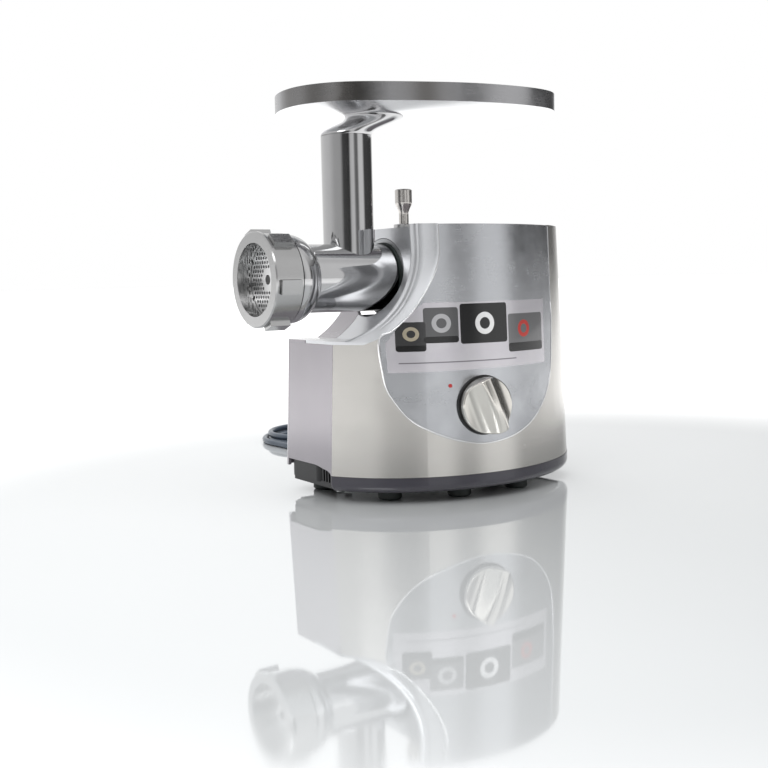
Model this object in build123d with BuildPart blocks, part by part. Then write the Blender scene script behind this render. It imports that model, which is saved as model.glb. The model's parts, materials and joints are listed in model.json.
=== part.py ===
# Electric meat grinder: a steel-wrapped power unit that drives a screw in a polished cast head,
# with a feed tube, a loading tray, a perforated screen held by a ring nut, and a sprung lock pin.
# Millimetres. +Z is up, the knob faces -Y, and the grinding head points along -X.
# The origin is on the table, under the middle of the object without its mains cord.
import os
from math import acos, atan2, cos, pi, radians, sin, sqrt, tan

from build123d import *

os.makedirs("parts", exist_ok=True)

# ---- driving dimensions -------------------------------------------------------------------
outletX = -16.5          # where the head's axis crosses the outlet's plane
axisY = 1.5              # the head's axis, seen from above
axisZ = 181.5            # the head's axis, above the table

footHeight = 8.0
steelBottom = 21.5
stepTop = 130.5          # top of the low part under the barrel
bodyTop = 223.0
draft = 2.4              # the body narrows upwards, degrees

leftX, rightX = -83.0, 157.0
backY, frontY = 48.0, -105.0
bowX = 43.0              # the front bows out most here
bowRadius, bowHalf = 160.0, 25.94
gap = 0.15               # between two fixed neighbours
play = 0.35              # between a fixed piece and a moving one

barrelRadius = 28.4
barrelBore = 24.6
spigotRadius = 24.0
nutRadius, nutLip, nutReach = 37.2, 38.6, 41.4
screenRadius = 32.2
tubeRadius, tubeBore = 21.3, 19.4
tubeX = -40.4
tubeTop = 299.0
headFront = -131.0

pinX = 17.0
cordRadius = 3.1


def plan(height):
    """A horizontal plane whose origin is on the head's axis, above the outlet."""
    return Plane(origin=(outletX, axisY, height))


def across(x, y=0.0, z=axisZ):
    """A plane across the head's axis: its x runs along +Y, its y along +Z, its normal along +X."""
    return Plane(origin=(outletX + x, axisY + y, z), x_dir=(0, 1, 0), z_dir=(1, 0, 0))


def front(y):
    """A plane that faces the knob side: its x runs along +X, its y along +Z, its normal along -Y."""
    return Plane(origin=(outletX, axisY + y, 0), x_dir=(1, 0, 0), z_dir=(0, -1, 0))


def lengthwise(y=0.0):
    """The upright plane through the head's axis, for profiles that are turned about it."""
    return Plane(origin=(outletX, axisY + y, axisZ), x_dir=(1, 0, 0), z_dir=(0, -1, 0))


def keep(piece, name):
    """Labels a finished piece and writes its file."""
    piece.label = name
    export_step(piece, f"parts/{name}.step")
    print(f"{name}: {len(piece.solids())} solid(s), {piece.volume / 1000:.1f} cm3")


def block(lowX, highX, lowY, highY, low, high):
    """A rectangular region, for trimming one piece against its neighbour."""
    with BuildPart(plan(low)) as region:
        with Locations(((lowX + highX) / 2, (lowY + highY) / 2, 0)):
            Box(highX - lowX, highY - lowY, high - low, align=(Align.CENTER, Align.CENTER, Align.MIN))
    return region.part


# ---- outlines of the body -----------------------------------------------------------------
def bodyPlan(height, inset=0.0):
    """The body's outline at a height: a bowed front, a flat left end and a rounded right rear."""
    shrink = inset + (height - steelBottom) * tan(radians(draft))
    bowStart = 270 - bowHalf
    with BuildSketch(plan(height)) as outline:
        with BuildLine():
            bow = CenterArc((bowX, frontY + bowRadius), bowRadius, bowStart, 2 * bowHalf)
            leftSide = TangentArc((bow @ 0), (leftX, -33.0), tangent=-(bow % 0))
            rightSide = TangentArc((bow @ 1), (rightX, -53.5), tangent=bow % 1)
            end = Polyline(leftSide @ 1, (leftX, backY - 8))
            cornerLeft = RadiusArc(end @ 1, (leftX + 8, backY), 8)
            rear = Polyline(cornerLeft @ 1, (rightX - 22, backY))
            cornerRight = RadiusArc(rear @ 1, (rightX, backY - 22), 22)
            Line(cornerRight @ 1, rightSide @ 1)
        make_face()
        if abs(shrink) > 0.01:
            offset(amount=-shrink, kind=Kind.INTERSECTION)
    return outline.sketch


sweepRadius, sweepStart = 83.7, 203.0


def sweepPoint(shift, height):
    """A point on the concave edge between the tall block and the low step."""
    x = -17.0 + shift
    if height >= sweepStart:
        return (x, height)
    drop = sweepStart - height
    return (x - sweepRadius + sqrt(sweepRadius ** 2 - drop ** 2), height)


def sweepRegion(shift, low, high, reach=-120.0):
    """Everything left of the concave edge, seen from the front, between two heights."""
    middle = (low + sweepStart) / 2
    with BuildSketch(front(0)) as region:
        with BuildLine():
            Line((reach, high), (-17.0 + shift, high))
            Line((-17.0 + shift, high), (-17.0 + shift, sweepStart))
            ThreePointArc((-17.0 + shift, sweepStart), sweepPoint(shift, middle), sweepPoint(shift, low))
            Line(sweepPoint(shift, low), (reach, low))
            Line((reach, low), (reach, high))
        make_face()
    return region.sketch


def shield():
    """The control panel's outline from the front: square above, rounded off to a shallow point below."""
    with BuildSketch(front(0)) as region:
        with BuildLine():
            Line((-17.0, bodyTop + 20), (-17.0, sweepStart))
            lip = ThreePointArc((-17.0, sweepStart), sweepPoint(0, 165), sweepPoint(0, 133))
            lower = Spline(lip @ 1, (-49.5, 86), (-29, 61), (19, 46), (69, 57), (101, 90), (109.5, 138),
                           tangents=[(0.04, -1), (0, 1)], tangent_scalars=[0.9, 0.9])
            Line(lower @ 1, (109.5, bodyTop + 20))
            Line((109.5, bodyTop + 20), (-17.0, bodyTop + 20))
        make_face()
    return region.sketch


# ---- housing ------------------------------------------------------------------------------
fullHeight = bodyTop - steelBottom
wrapWall = 1.6
capWall = 2.5
splitY = 12.0            # the rear cover starts here

with BuildPart() as steelWrap:
    extrude(bodyPlan(steelBottom), amount=fullHeight, taper=draft)
    extrude(bodyPlan(steelBottom, wrapWall), amount=fullHeight, taper=draft, mode=Mode.SUBTRACT)
    extrude(shield(), amount=160, mode=Mode.SUBTRACT)
    extrude(sweepRegion(0, stepTop - capWall, bodyTop + 20), amount=160, both=True, mode=Mode.SUBTRACT)
    add(block(-200, 200, splitY, 200, 0, 300), mode=Mode.SUBTRACT)
    add(block(leftX - 10, leftX + 5.2, -32.3, 200, 0, 300), mode=Mode.SUBTRACT)
keep(steelWrap.part, "steel_wrap")

knobX, knobZ = 20.8, 77.0
knobRadius = 23.0
panelBow = bowRadius - (knobZ - steelBottom) * tan(radians(draft)) + 0.5
knobY = frontY + bowRadius - sqrt(panelBow ** 2 - (knobX - bowX) ** 2)
knobAxis = Vector((knobX - bowX) / panelBow, (knobY - frontY - bowRadius) / panelBow, tan(radians(draft)))
knobTilt = 20.0


def facePlane(out):
    """A plane square to the knob's axis, a distance out of the panel's face."""
    centre = Vector(outletX + knobX, axisY + knobY, knobZ) + knobAxis.normalized() * out
    return Plane(origin=centre, x_dir=(-knobAxis.Y, knobAxis.X, 0), z_dir=knobAxis)


seatRadius = 24.2


with BuildPart() as controlPanel:
    extrude(bodyPlan(steelBottom, -0.5), amount=fullHeight, taper=draft)
    extrude(bodyPlan(steelBottom, 2.0), amount=fullHeight, taper=draft, mode=Mode.SUBTRACT)
    with BuildSketch(facePlane(-8)) as knobSeat:
        Circle(seatRadius + gap)
    extrude(amount=16, mode=Mode.SUBTRACT)
    extrude(shield(), amount=160, mode=Mode.INTERSECT)
    add(block(-200, 200, -200, 200, bodyTop - 0.4, 300), mode=Mode.SUBTRACT)
keep(controlPanel.part, "control_panel")

socketRadius = 33.0      # the outlet's round flange


def sweepWall(shift, width, nearY, farY):
    """A wall that follows the concave edge, between two places along Y."""
    with BuildPart() as wall:
        extrude(sweepRegion(shift + width, stepTop - capWall, bodyTop), amount=160, both=True)
        extrude(sweepRegion(shift, stepTop, bodyTop + 1), amount=170, both=True, mode=Mode.SUBTRACT)
        add(block(-200, 200, nearY, farY, 0, 300), mode=Mode.INTERSECT)
        extrude(bodyPlan(steelBottom), amount=fullHeight, taper=draft, mode=Mode.INTERSECT)
    return wall.part


def barrelPocket():
    """The round clearance that the barrel and its socket need through the concave wall."""
    with BuildSketch(across(-90)) as pocket:
        Circle(socketRadius + 0.4)
    return pocket.sketch


with BuildPart() as panelSeat:
    extrude(shield(), amount=160)
    extrude(bodyPlan(steelBottom, 2.0 + gap), amount=fullHeight, taper=draft, mode=Mode.SUBTRACT)

with BuildPart() as outletBezel:
    add(sweepWall(-14, 28, -160, -20))
    extrude(bodyPlan(steelBottom, 9.0), amount=fullHeight, taper=draft, mode=Mode.SUBTRACT)
    add(sweepWall(11, 3, -84, splitY - gap))
    add(panelSeat.part, mode=Mode.SUBTRACT)
    add(steelWrap.part, mode=Mode.SUBTRACT)
    extrude(barrelPocket(), amount=110, mode=Mode.SUBTRACT)
keep(outletBezel.part, "outlet_bezel")

panelWall = 2.2
with BuildPart() as leftPanel:
    extrude(bodyPlan(steelBottom, 0), amount=stepTop - capWall - gap - steelBottom, taper=draft)
    extrude(bodyPlan(steelBottom, panelWall), amount=120, taper=draft, mode=Mode.SUBTRACT)
    add(block(leftX - 5, leftX + 5, -32.15, 38.85, 0, 200), mode=Mode.INTERSECT)
    # the lower edge rises in an arch over the black underbody
    with BuildSketch(across(leftX - 10, 0, 0)) as arch:
        with BuildLine():
            Line((-31.0, steelBottom - 5), (-31.0, steelBottom))
            Spline((-31.0, steelBottom), (-20, 25.5), (-4, 27.5), tangents=[(0.6, 1), (1, 0)])
            Polyline((-4, 27.5), (60, 27.5), (60, steelBottom - 5), (-31.0, steelBottom - 5))
        make_face()
    extrude(amount=30, mode=Mode.SUBTRACT)
keep(leftPanel.part, "left_panel")

rearWall = 2.5
slotCount = 9
with BuildPart() as rearSkin:
    extrude(bodyPlan(steelBottom), amount=fullHeight, taper=draft)
    extrude(bodyPlan(steelBottom, rearWall), amount=fullHeight, taper=draft, mode=Mode.SUBTRACT)
    extrude(sweepRegion(11, stepTop - capWall, bodyTop + 20), amount=-100, mode=Mode.SUBTRACT)
    add(block(-200, 200, -200, splitY, 0, 300), mode=Mode.SUBTRACT)
    add(block(leftX - 5, leftX + 5.2, -200, 39, 0, 300), mode=Mode.SUBTRACT)

cordExit = (78.0, 36.0)  # where the cord leaves the rear cover: x, height
with BuildPart() as rearCover:
    add(rearSkin.part)
    add(sweepWall(11, 3, splitY, 100))
    extrude(barrelPocket(), amount=110, mode=Mode.SUBTRACT)
    with BuildSketch(front(backY - 12)) as louvres:
        with GridLocations(0, 7.5, 1, slotCount):
            with Locations((40, 165)):
                SlotOverall(92, 3.2)
        with Locations(cordExit):
            Circle(8.6)
    extrude(amount=-40, mode=Mode.SUBTRACT)
keep(rearCover.part, "rear_cover")

with BuildPart() as topCover:
    extrude(bodyPlan(bodyTop - 3.0, rearWall + gap), amount=2.7, taper=draft)
    add(block(-200, -3 + gap, -200, 200, 0, 300), mode=Mode.SUBTRACT)
    with BuildSketch(plan(bodyTop - 10)) as pinHole:
        with Locations((pinX, 0)):
            Circle(9.2)
    extrude(amount=20, mode=Mode.SUBTRACT)
keep(topCover.part, "top_cover")

# ---- base ---------------------------------------------------------------------------------
skirtBottom = 8.5
with BuildPart() as baseSkirt:
    extrude(bodyPlan(steelBottom, -0.4), amount=skirtBottom - steelBottom)
    fillet(baseSkirt.faces().sort_by(Axis.Z)[0].edges(), 6.5)
    extrude(bodyPlan(steelBottom, 8.0), amount=40, both=True, mode=Mode.SUBTRACT)
    add(block(-200, 200, -200, 200, steelBottom - gap, 300), mode=Mode.SUBTRACT)
    add(block(leftX - 10, leftX + 15, -32, 200, 0, 300), mode=Mode.SUBTRACT)
keep(baseSkirt.part, "base_skirt")

footSpots = [(-38, -50), (14, -76), (74, -78), (-56, 24), (130, 22)]
footRadius = 10.0
plateTop = 14.0
with BuildPart() as bottomPlate:
    extrude(bodyPlan(steelBottom, 8.0 + gap), amount=footHeight + 1.5 - steelBottom)
    add(block(-200, 200, -200, 200, plateTop, 100), mode=Mode.SUBTRACT)
    # the black underbody that shows under the left panel's arch
    with BuildSketch(plan(plateTop - 1)) as underbody:
        with Locations((leftX + 11.5, 14)):
            RectangleRounded(19, 48, 6)
    extrude(amount=steelBottom + 5.5 - plateTop + 1)
    with BuildSketch(plan(footHeight + 1.5)) as underSill:
        with Locations((leftX + 12.5, 3)):
            Rectangle(17, 66)
    extrude(amount=plateTop - footHeight - 1.5)
    with BuildSketch(plan(footHeight)) as footRecess:
        with Locations(*footSpots):
            Circle(footRadius - 2 + gap)
    extrude(amount=4.0, mode=Mode.SUBTRACT)
keep(bottomPlate.part, "bottom_plate")

ribCount, ribPitch = 5, 4.2
with BuildPart() as ventGrille:
    for index in range(ribCount):
        with BuildSketch(plan(plateTop + gap)) as rib:
            with Locations((leftX + 9.5, -13.5 - index * ribPitch)):
                Rectangle(13, 1.5)
        extrude(amount=12.0)
    with BuildSketch(plan(plateTop + gap)) as grilleBack:
        with Locations((leftX + 17, -13.5 - (ribCount - 1) * ribPitch / 2)):
            Rectangle(3, (ribCount - 1) * ribPitch + 1.5)
    extrude(amount=12.0)
keep(ventGrille.part, "vent_grille")

with BuildPart() as rubberFeet:
    with BuildSketch(plan(0)) as footPads:
        with Locations(*footSpots):
            Circle(footRadius)
    extrude(amount=footHeight + 1.5 - gap)
    chamfer(rubberFeet.edges().group_by(Axis.Z)[0], 1.2)
    with BuildSketch(plan(footHeight)) as footStems:
        with Locations(*footSpots):
            Circle(footRadius - 2)
    extrude(amount=4.0 - gap)
keep(rubberFeet.part, "rubber_feet")

# ---- gear train ---------------------------------------------------------------------------
pressureAngle = radians(25)
stageModule = (1.0, 1.25, 1.5)
pinionTeeth = (12, 13, 13)
wheelTeeth = (54, 52, 44)


def centreDistance(stage):
    """The distance between a stage's two shafts, with a hair of clearance."""
    return stageModule[stage] * (pinionTeeth[stage] + wheelTeeth[stage]) / 2 + 0.05


def shaftBelow(place, distance, side):
    """A shaft's place, one centre distance below another and shifted sideways."""
    return (place[0] + side, place[1] - sqrt(distance ** 2 - side ** 2))


outputShaft = (0.0, axisZ)
secondShaft = shaftBelow(outputShaft, centreDistance(2), -14.0)
firstShaft = shaftBelow(secondShaft, centreDistance(1), -10.0)
motorShaft = shaftBelow(firstShaft, centreDistance(0), 4.0)
stageStart = (33.0, 47.0, 61.0)
stageFace = 11.0


def direction(here, there):
    """The angle, in a plane across the shafts, from one shaft to another."""
    return atan2(there[1] - here[1], there[0] - here[0])


def gearOutline(teeth, module, turned, backlash=0.09):
    """The corners of an involute gear's outline, with one tooth centred at the angle turned."""
    pitchRadius = module * teeth / 2
    baseRadius = pitchRadius * cos(pressureAngle)
    tipRadius = pitchRadius + 0.95 * module
    rootRadius = pitchRadius - 1.2 * module
    startRadius = max(baseRadius, rootRadius + 0.05)
    halfAtPitch = pi / (2 * teeth) - backlash / (2 * pitchRadius)

    def halfAngle(radius):
        rolled = acos(min(1.0, baseRadius / radius))
        return halfAtPitch + tan(pressureAngle) - pressureAngle - (tan(rolled) - rolled)

    flankSteps = 4
    flank = [startRadius + (tipRadius - startRadius) * step / flankSteps for step in range(flankSteps + 1)]
    corners = []
    for tooth in range(teeth):
        middle = turned + 2 * pi * tooth / teeth
        rising = [(rootRadius, -halfAngle(startRadius))] + [(radius, -halfAngle(radius)) for radius in flank]
        falling = [(radius, -angle) for radius, angle in reversed(rising)]
        for radius, angle in rising + falling:
            corners.append((radius * cos(middle + angle), radius * sin(middle + angle)))
    return corners


def gear(teeth, module, turned, place, start, bore, face=stageFace):
    """One spur gear on a shaft: place is the shaft's (y, height)."""
    with BuildPart() as wheel:
        with BuildSketch(across(start, place[0], place[1])) as outline:
            with BuildLine():
                Polyline(*gearOutline(teeth, module, turned), close=True)
            make_face()
            Circle(bore, mode=Mode.SUBTRACT)
        extrude(amount=face)
    return wheel.part


def rod(radius, start, end, place):
    """A round shaft along X: place is its (y, height)."""
    with BuildPart() as shaft:
        with BuildSketch(across(start, place[0], place[1])):
            Circle(radius)
        extrude(amount=end - start)
    return shaft.part


def facing(stage, here, there):
    """Where a wheel's tooth points so that a gap of it faces the pinion that drives it."""
    return direction(here, there) + pi / wheelTeeth[stage]


housingStart, housingEnd = 28.0, 77.0
motorShaftRadius, layRadius, outputRadius = 3.0, 4.0, 8.0

with BuildPart() as armatureShaft:
    add(rod(motorShaftRadius, housingStart + 3.2, 148.0, motorShaft))
    add(gear(pinionTeeth[0], stageModule[0], direction(motorShaft, firstShaft), motorShaft, stageStart[0], 0.5))
keep(armatureShaft.part, "armature_shaft")

with BuildPart() as firstLayshaft:
    add(rod(layRadius, housingStart + 0.3, housingEnd - 0.3, firstShaft))
    add(gear(pinionTeeth[1], stageModule[1], direction(firstShaft, secondShaft), firstShaft, stageStart[1], 0.5))
keep(firstLayshaft.part, "first_layshaft")

with BuildPart() as firstWheel:
    add(gear(wheelTeeth[0], stageModule[0], facing(0, firstShaft, motorShaft), firstShaft, stageStart[0],
             layRadius))
keep(firstWheel.part, "first_gear")

with BuildPart() as secondLayshaft:
    add(rod(layRadius, housingStart + 0.3, housingEnd - 0.3, secondShaft))
    add(gear(pinionTeeth[2], stageModule[2], direction(secondShaft, outputShaft), secondShaft, stageStart[2],
             0.5))
keep(secondLayshaft.part, "second_layshaft")

with BuildPart() as secondWheel:
    add(gear(wheelTeeth[1], stageModule[1], facing(1, secondShaft, firstShaft), secondShaft, stageStart[1],
             layRadius))
keep(secondWheel.part, "second_gear")

with BuildPart() as outputWheel:
    add(gear(wheelTeeth[2], stageModule[2], facing(2, outputShaft, secondShaft), outputShaft, stageStart[2],
             outputRadius))
keep(outputWheel.part, "output_gear")

driveSquare = 10.0       # across the flats of the screw's tail
with BuildPart() as driveSocket:
    add(rod(outputRadius, 24.0, housingEnd - 0.3, outputShaft))
    with BuildSketch(across(4.0)) as hub:
        Circle(11.0)
    extrude(amount=20.0)
    with BuildSketch(across(4.0)) as squareHole:
        Rectangle(driveSquare + 2 * play, driveSquare + 2 * play)
    extrude(amount=16.0, mode=Mode.SUBTRACT)
keep(driveSocket.part, "drive_socket")

# ---- gearbox and motor --------------------------------------------------------------------
boxWall = 2.5


def gearboxOutline(x, inset=0.0):
    """The outline of the gearbox: a belt round the output wheel, the two layshafts and the pinion."""
    with BuildSketch(across(x, 0, 0)) as belt:
        for place, radius in ((outputShaft, 37.4), (secondShaft, 36.7), (firstShaft, 31.0), (motorShaft, 13.0)):
            with Locations(place):
                Circle(radius - inset)
        make_hull()
    return belt.sketch


def shaftHoles(x, places):
    """Bearing bores in a plate across the shafts."""
    with BuildSketch(across(x, 0, 0)) as holes:
        for place, radius in places:
            with Locations(place):
                Circle(radius + 0.06)
    return holes.sketch


layPlaces = ((firstShaft, layRadius), (secondShaft, layRadius))
with BuildPart() as gearboxHousing:
    extrude(gearboxOutline(housingStart), amount=46.0)
    extrude(gearboxOutline(housingStart + 3.0, boxWall), amount=50.0, mode=Mode.SUBTRACT)
    extrude(shaftHoles(housingStart - 5, layPlaces + ((outputShaft, outputRadius),)), amount=20,
            mode=Mode.SUBTRACT)
keep(gearboxHousing.part, "gearbox_housing")

with BuildPart() as gearboxCover:
    extrude(gearboxOutline(housingStart + 46.0 + gap), amount=housingEnd - housingStart - 46.0 - gap)
    extrude(shaftHoles(housingStart, layPlaces + ((outputShaft, outputRadius), (motorShaft, motorShaftRadius))),
            amount=60, mode=Mode.SUBTRACT)
keep(gearboxCover.part, "gearbox_cover")


motorY, motorZ = motorShaft
coreRadius, statorRadius = 23.0, 38.0
coreStart, coreEnd = 96.0, 122.0
with BuildPart() as armatureCore:
    add(rod(coreRadius, coreStart, coreEnd, motorShaft))
    with BuildSketch(across(coreStart - 1, motorY, motorZ)) as slots:
        with PolarLocations(coreRadius, 12):
            Rectangle(6, 2.4)
        Circle(motorShaftRadius)
    extrude(amount=40, mode=Mode.SUBTRACT)
keep(armatureCore.part, "armature_core")

with BuildPart() as commutator:
    add(rod(12.0, 126.0, 136.0, motorShaft))
    add(rod(motorShaftRadius, 120.0, 140.0, motorShaft), mode=Mode.SUBTRACT)
keep(commutator.part, "commutator")

with BuildPart() as coolingFan:
    add(rod(7.0, 84.4, 90.6, motorShaft))
    add(rod(30.0, 84.4, 85.6, motorShaft))
    with BuildSketch(across(85.4, motorY, motorZ)) as blades:
        with PolarLocations(18.5, 11):
            Rectangle(22.5, 1.4)
    extrude(amount=5.2)
    add(rod(motorShaftRadius, 80.0, 100.0, motorShaft), mode=Mode.SUBTRACT)
keep(coolingFan.part, "cooling_fan")

with BuildPart() as motorStator:
    with BuildSketch(across(coreStart, motorY, motorZ)) as laminations:
        Circle(statorRadius)
        Circle(coreRadius + 0.6, mode=Mode.SUBTRACT)
        with Locations((0, 30.8), (0, -30.8)):
            SlotOverall(24, 8, mode=Mode.SUBTRACT)
    extrude(amount=coreEnd - coreStart)
keep(motorStator.part, "motor_stator")

with BuildPart() as fieldCoils:
    for side in (-1, 1):
        with BuildSketch(across(coreStart - 5, motorY, motorZ + side * 30.8)) as winding:
            SlotOverall(23.6, 7.6)
        extrude(amount=coreEnd - coreStart + 10)
keep(fieldCoils.part, "field_coils")

with BuildPart() as motorBrackets:
    for start in (79.5, 141.0):
        with BuildSketch(across(start, motorY, motorZ)) as spider:
            Circle(12.0)
            Rectangle(2 * statorRadius, 14)
            Circle(motorShaftRadius + 0.06, mode=Mode.SUBTRACT)
        extrude(amount=4.0)
    with BuildSketch(across(83.5, motorY, motorZ)) as ties:
        with Locations((statorRadius - 3.5, 0), (3.5 - statorRadius, 0)):
            Circle(2.2)
    extrude(amount=12.4)
    with BuildSketch(across(coreEnd + 0.1, motorY, motorZ)) as rearTies:
        with Locations((statorRadius - 3.5, 0), (3.5 - statorRadius, 0)):
            Circle(2.2)
    extrude(amount=141.0 - coreEnd - 0.1)
keep(motorBrackets.part, "motor_brackets")

with BuildPart() as brushHolders:
    for side in (-1, 1):
        with BuildSketch(across(127.5, motorY, motorZ + side * 23)) as sleeve:
            Rectangle(10, 19)
            Rectangle(6.4, 19, mode=Mode.SUBTRACT)
        extrude(amount=7.0)
    with BuildSketch(across(134.6, motorY, motorZ)) as yoke:
        Rectangle(12, 2 * 32.5)
        Circle(12.6, mode=Mode.SUBTRACT)
    extrude(amount=2.4)
keep(brushHolders.part, "brush_holders")

with BuildPart() as carbonBrushes:
    for side in (-1, 1):
        with BuildSketch(across(128.0, motorY, motorZ + side * 21.4)) as carbon:
            Rectangle(6.2, 18)
        extrude(amount=6.0)
keep(carbonBrushes.part, "carbon_brushes")

with BuildPart() as motorCradle:
    add(block(coreStart + 2, coreEnd - 2, motorY - 30, motorY + 30, plateTop + gap, motorZ - 20))
    add(rod(statorRadius + gap, 80, 140, motorShaft), mode=Mode.SUBTRACT)
    add(block(coreStart, coreEnd, motorY - 12, motorY + 12, plateTop + gap, plateTop + 12), mode=Mode.SUBTRACT)
keep(motorCradle.part, "motor_cradle")

with BuildPart() as gearboxStand:
    add(block(housingStart + 4, housingEnd - 6, motorY - 13, motorY + 13, plateTop + gap, motorZ))
    extrude(gearboxOutline(housingStart - 5, -gap), amount=70, mode=Mode.SUBTRACT)
    add(block(housingStart, housingEnd, motorY - 9, motorY + 9, plateTop + 6, motorZ - 20), mode=Mode.SUBTRACT)
keep(gearboxStand.part, "gearbox_stand")

# ---- outlet and lock pin ------------------------------------------------------------------
socketLip, socketEnd = -6.0, 27.8
pinRadius, pinTravel = 4.2, 5.0


def turned(points):
    """A ring turned about the head's axis: points are (along X, radius)."""
    with BuildPart() as ring:
        with BuildSketch(lengthwise()) as profile:
            with BuildLine():
                Polyline(*points, close=True)
            make_face()
        revolve(axis=Axis((outletX, axisY, axisZ), (1, 0, 0)))
    return ring.part


with BuildPart() as outletSocket:
    add(turned([(socketLip, 24.4), (socketLip, socketRadius), (-2, socketRadius), (-2, 30), (socketEnd, 30),
                (socketEnd, 12), (25, 12), (25, 24.4)]))
    with BuildSketch(plan(axisZ)) as pinPassage:
        with Locations((pinX, 0)):
            Circle(pinRadius + 0.4)
    extrude(amount=40, mode=Mode.SUBTRACT)
keep(outletSocket.part, "outlet_socket")

with BuildPart() as outletGasket:
    add(turned([(socketLip - 0.05, 24.5), (socketLip - 2.4, 24.5), (socketLip - 2.4, 29.4), (socketLip - 0.05, 29.8)]))
keep(outletGasket.part, "outlet_gasket")

bushTop = 227.0


def pinTurned(points):
    """A piece turned about the lock pin's axis: points are (radius, height)."""
    with BuildPart() as piece:
        with BuildSketch(Plane(origin=(outletX + pinX, axisY, 0), x_dir=(1, 0, 0), z_dir=(0, -1, 0))):
            with BuildLine():
                Polyline(*points, close=True)
            make_face()
        revolve(axis=Axis((outletX + pinX, axisY, 0), (0, 0, 1)))
    return piece.part


chamber = 6.7
with BuildPart() as lockPinBush:
    add(pinTurned([(chamber, 211.8), (9.0, 211.8), (9.0, bushTop - 0.6), (8.4, bushTop), (pinRadius + 0.3, bushTop),
                   (pinRadius + 0.3, 224.0), (chamber, 224.0)]))
keep(lockPinBush.part, "lock_pin_bush")

pinFoot, pinTop = 203.3, 257.0
with BuildPart() as lockPin:
    with BuildSketch(Plane(origin=(outletX + pinX, axisY, 0), x_dir=(1, 0, 0), z_dir=(0, -1, 0))):
        with BuildLine():
            Polyline((0, pinFoot), (pinRadius - 0.8, pinFoot), (pinRadius, pinFoot + 0.8), (pinRadius, 213.0),
                     (6.2, 213.0), (6.2, 214.4), (pinRadius, 214.4), (pinRadius, 235.5))
            Spline((pinRadius, 235.5), (7.4, 245.5), tangents=[(0, 1), (0, 1)], tangent_scalars=[1.2, 0.8])
            Polyline((7.4, 245.5), (7.4, pinTop - 0.8), (6.6, pinTop), (0, pinTop), (0, pinFoot))
        make_face()
    revolve(axis=Axis((outletX + pinX, axisY, 0), (0, 0, 1)))
keep(lockPin.part, "lock_pin")

with BuildPart() as lockPinSpring:
    with BuildLine() as coilPath:
        Helix(pitch=2.1, height=8.4, radius=5.4, center=(outletX + pinX, axisY, 215.0))
    with BuildSketch(Plane(origin=coilPath.line @ 0, z_dir=coilPath.line % 0)) as wire:
        Circle(0.45)
    sweep()
keep(lockPinSpring.part, "lock_pin_spring")

# ---- grinding head ------------------------------------------------------------------------
shoulderX, mouthX = -8.8, -118.1
with BuildPart() as grinderHead:
    with BuildSketch(lengthwise()) as bodyProfile:
        with BuildLine():
            Polyline((23.5, 20), (23.5, spigotRadius), (shoulderX, spigotRadius), (shoulderX, barrelRadius - 1),
                     (shoulderX - 1, barrelRadius), (-85.0, barrelRadius))
            ThreePointArc((-85.0, barrelRadius), (-87.5, 29.4), (-89.5, 32.0))
            ThreePointArc((-89.5, 32.0), (-95.5, 35.3), (-104.8, 36.2))
            Polyline((-104.8, 36.2), (-104.8, 34.1), (mouthX, 34.1), (mouthX, 32.7), (-113.6, 32.7),
                     (-113.6, barrelBore), (-4.0, barrelBore), (-4.0, 9.1), (1.5, 9.1), (1.5, 20), (23.5, 20))
        make_face()
    revolve(axis=Axis((outletX, axisY, axisZ), (1, 0, 0)))
    with BuildSketch(plan(axisZ)) as tube:
        with Locations((tubeX, 0)):
            Circle(tubeRadius)
    extrude(amount=tubeTop - axisZ)
    with BuildSketch(plan(axisZ)) as throat:
        with Locations((tubeX, 0)):
            Circle(tubeBore)
    extrude(amount=tubeTop - axisZ + 1, mode=Mode.SUBTRACT)
    boreLength = 109.6
    with BuildSketch(across(-113.6)) as boreAgain:
        Circle(barrelBore)
    extrude(amount=boreLength, mode=Mode.SUBTRACT)
    # the notch at the rear that slides over the lock pin
    with BuildSketch(plan(axisZ + 10)) as notch:
        with Locations((pinX + 3, 0)):
            Rectangle(15.6, 2 * pinRadius + 1.0)
    extrude(amount=40, mode=Mode.SUBTRACT)
keep(grinderHead.part, "grinder_head")

screwFront, screwRear = -108.5, -6.2
flightPitch = 27.0
with BuildPart() as feedScrew:
    add(turned([(1.2, 0), (1.2, 9.0), (-4.4, 9.0), (-4.4, 14.0), (screwRear, 14.0), (screwRear - 3, 11.5),
                (screwFront + 1, 9.5), (screwFront, 9.0), (screwFront, 0)]))
    with BuildLine() as flightPath:
        Helix(pitch=flightPitch, height=96.0, radius=15.0, center=(outletX - 106.0, axisY, axisZ),
              direction=(1, 0, 0))
    with BuildSketch(Plane(origin=flightPath.line @ 0, z_dir=flightPath.line % 0, x_dir=(1, 0, 0))) as blade:
        Rectangle(3.6, 17.6)
    sweep(is_frenet=True)
    add(turned([(30, 23.9), (30, 60), (-140, 60), (-140, 23.9)]), mode=Mode.SUBTRACT)
    with BuildSketch(across(1.2)) as tail:
        Rectangle(driveSquare, driveSquare)
    extrude(amount=16.4)
    with BuildSketch(across(screwFront)) as knifeSeat:
        Rectangle(8, 8)
    extrude(amount=-5.0)
    with BuildSketch(across(screwFront - 5.0)) as nosePin:
        Circle(4.0)
    extrude(amount=-4.4)
keep(feedScrew.part, "feed_screw")

with BuildPart() as cuttingKnife:
    with BuildSketch(across(screwFront - 0.9)) as cross:
        Circle(9.0)
        with PolarLocations(0, 4, start_angle=20):
            with Locations((12.5, 1.2)):
                Rectangle(22.0, 6.0)
        Rectangle(8.02, 8.02, mode=Mode.SUBTRACT)
    extrude(amount=-3.9)
keep(cuttingKnife.part, "cutting_knife")

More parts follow.
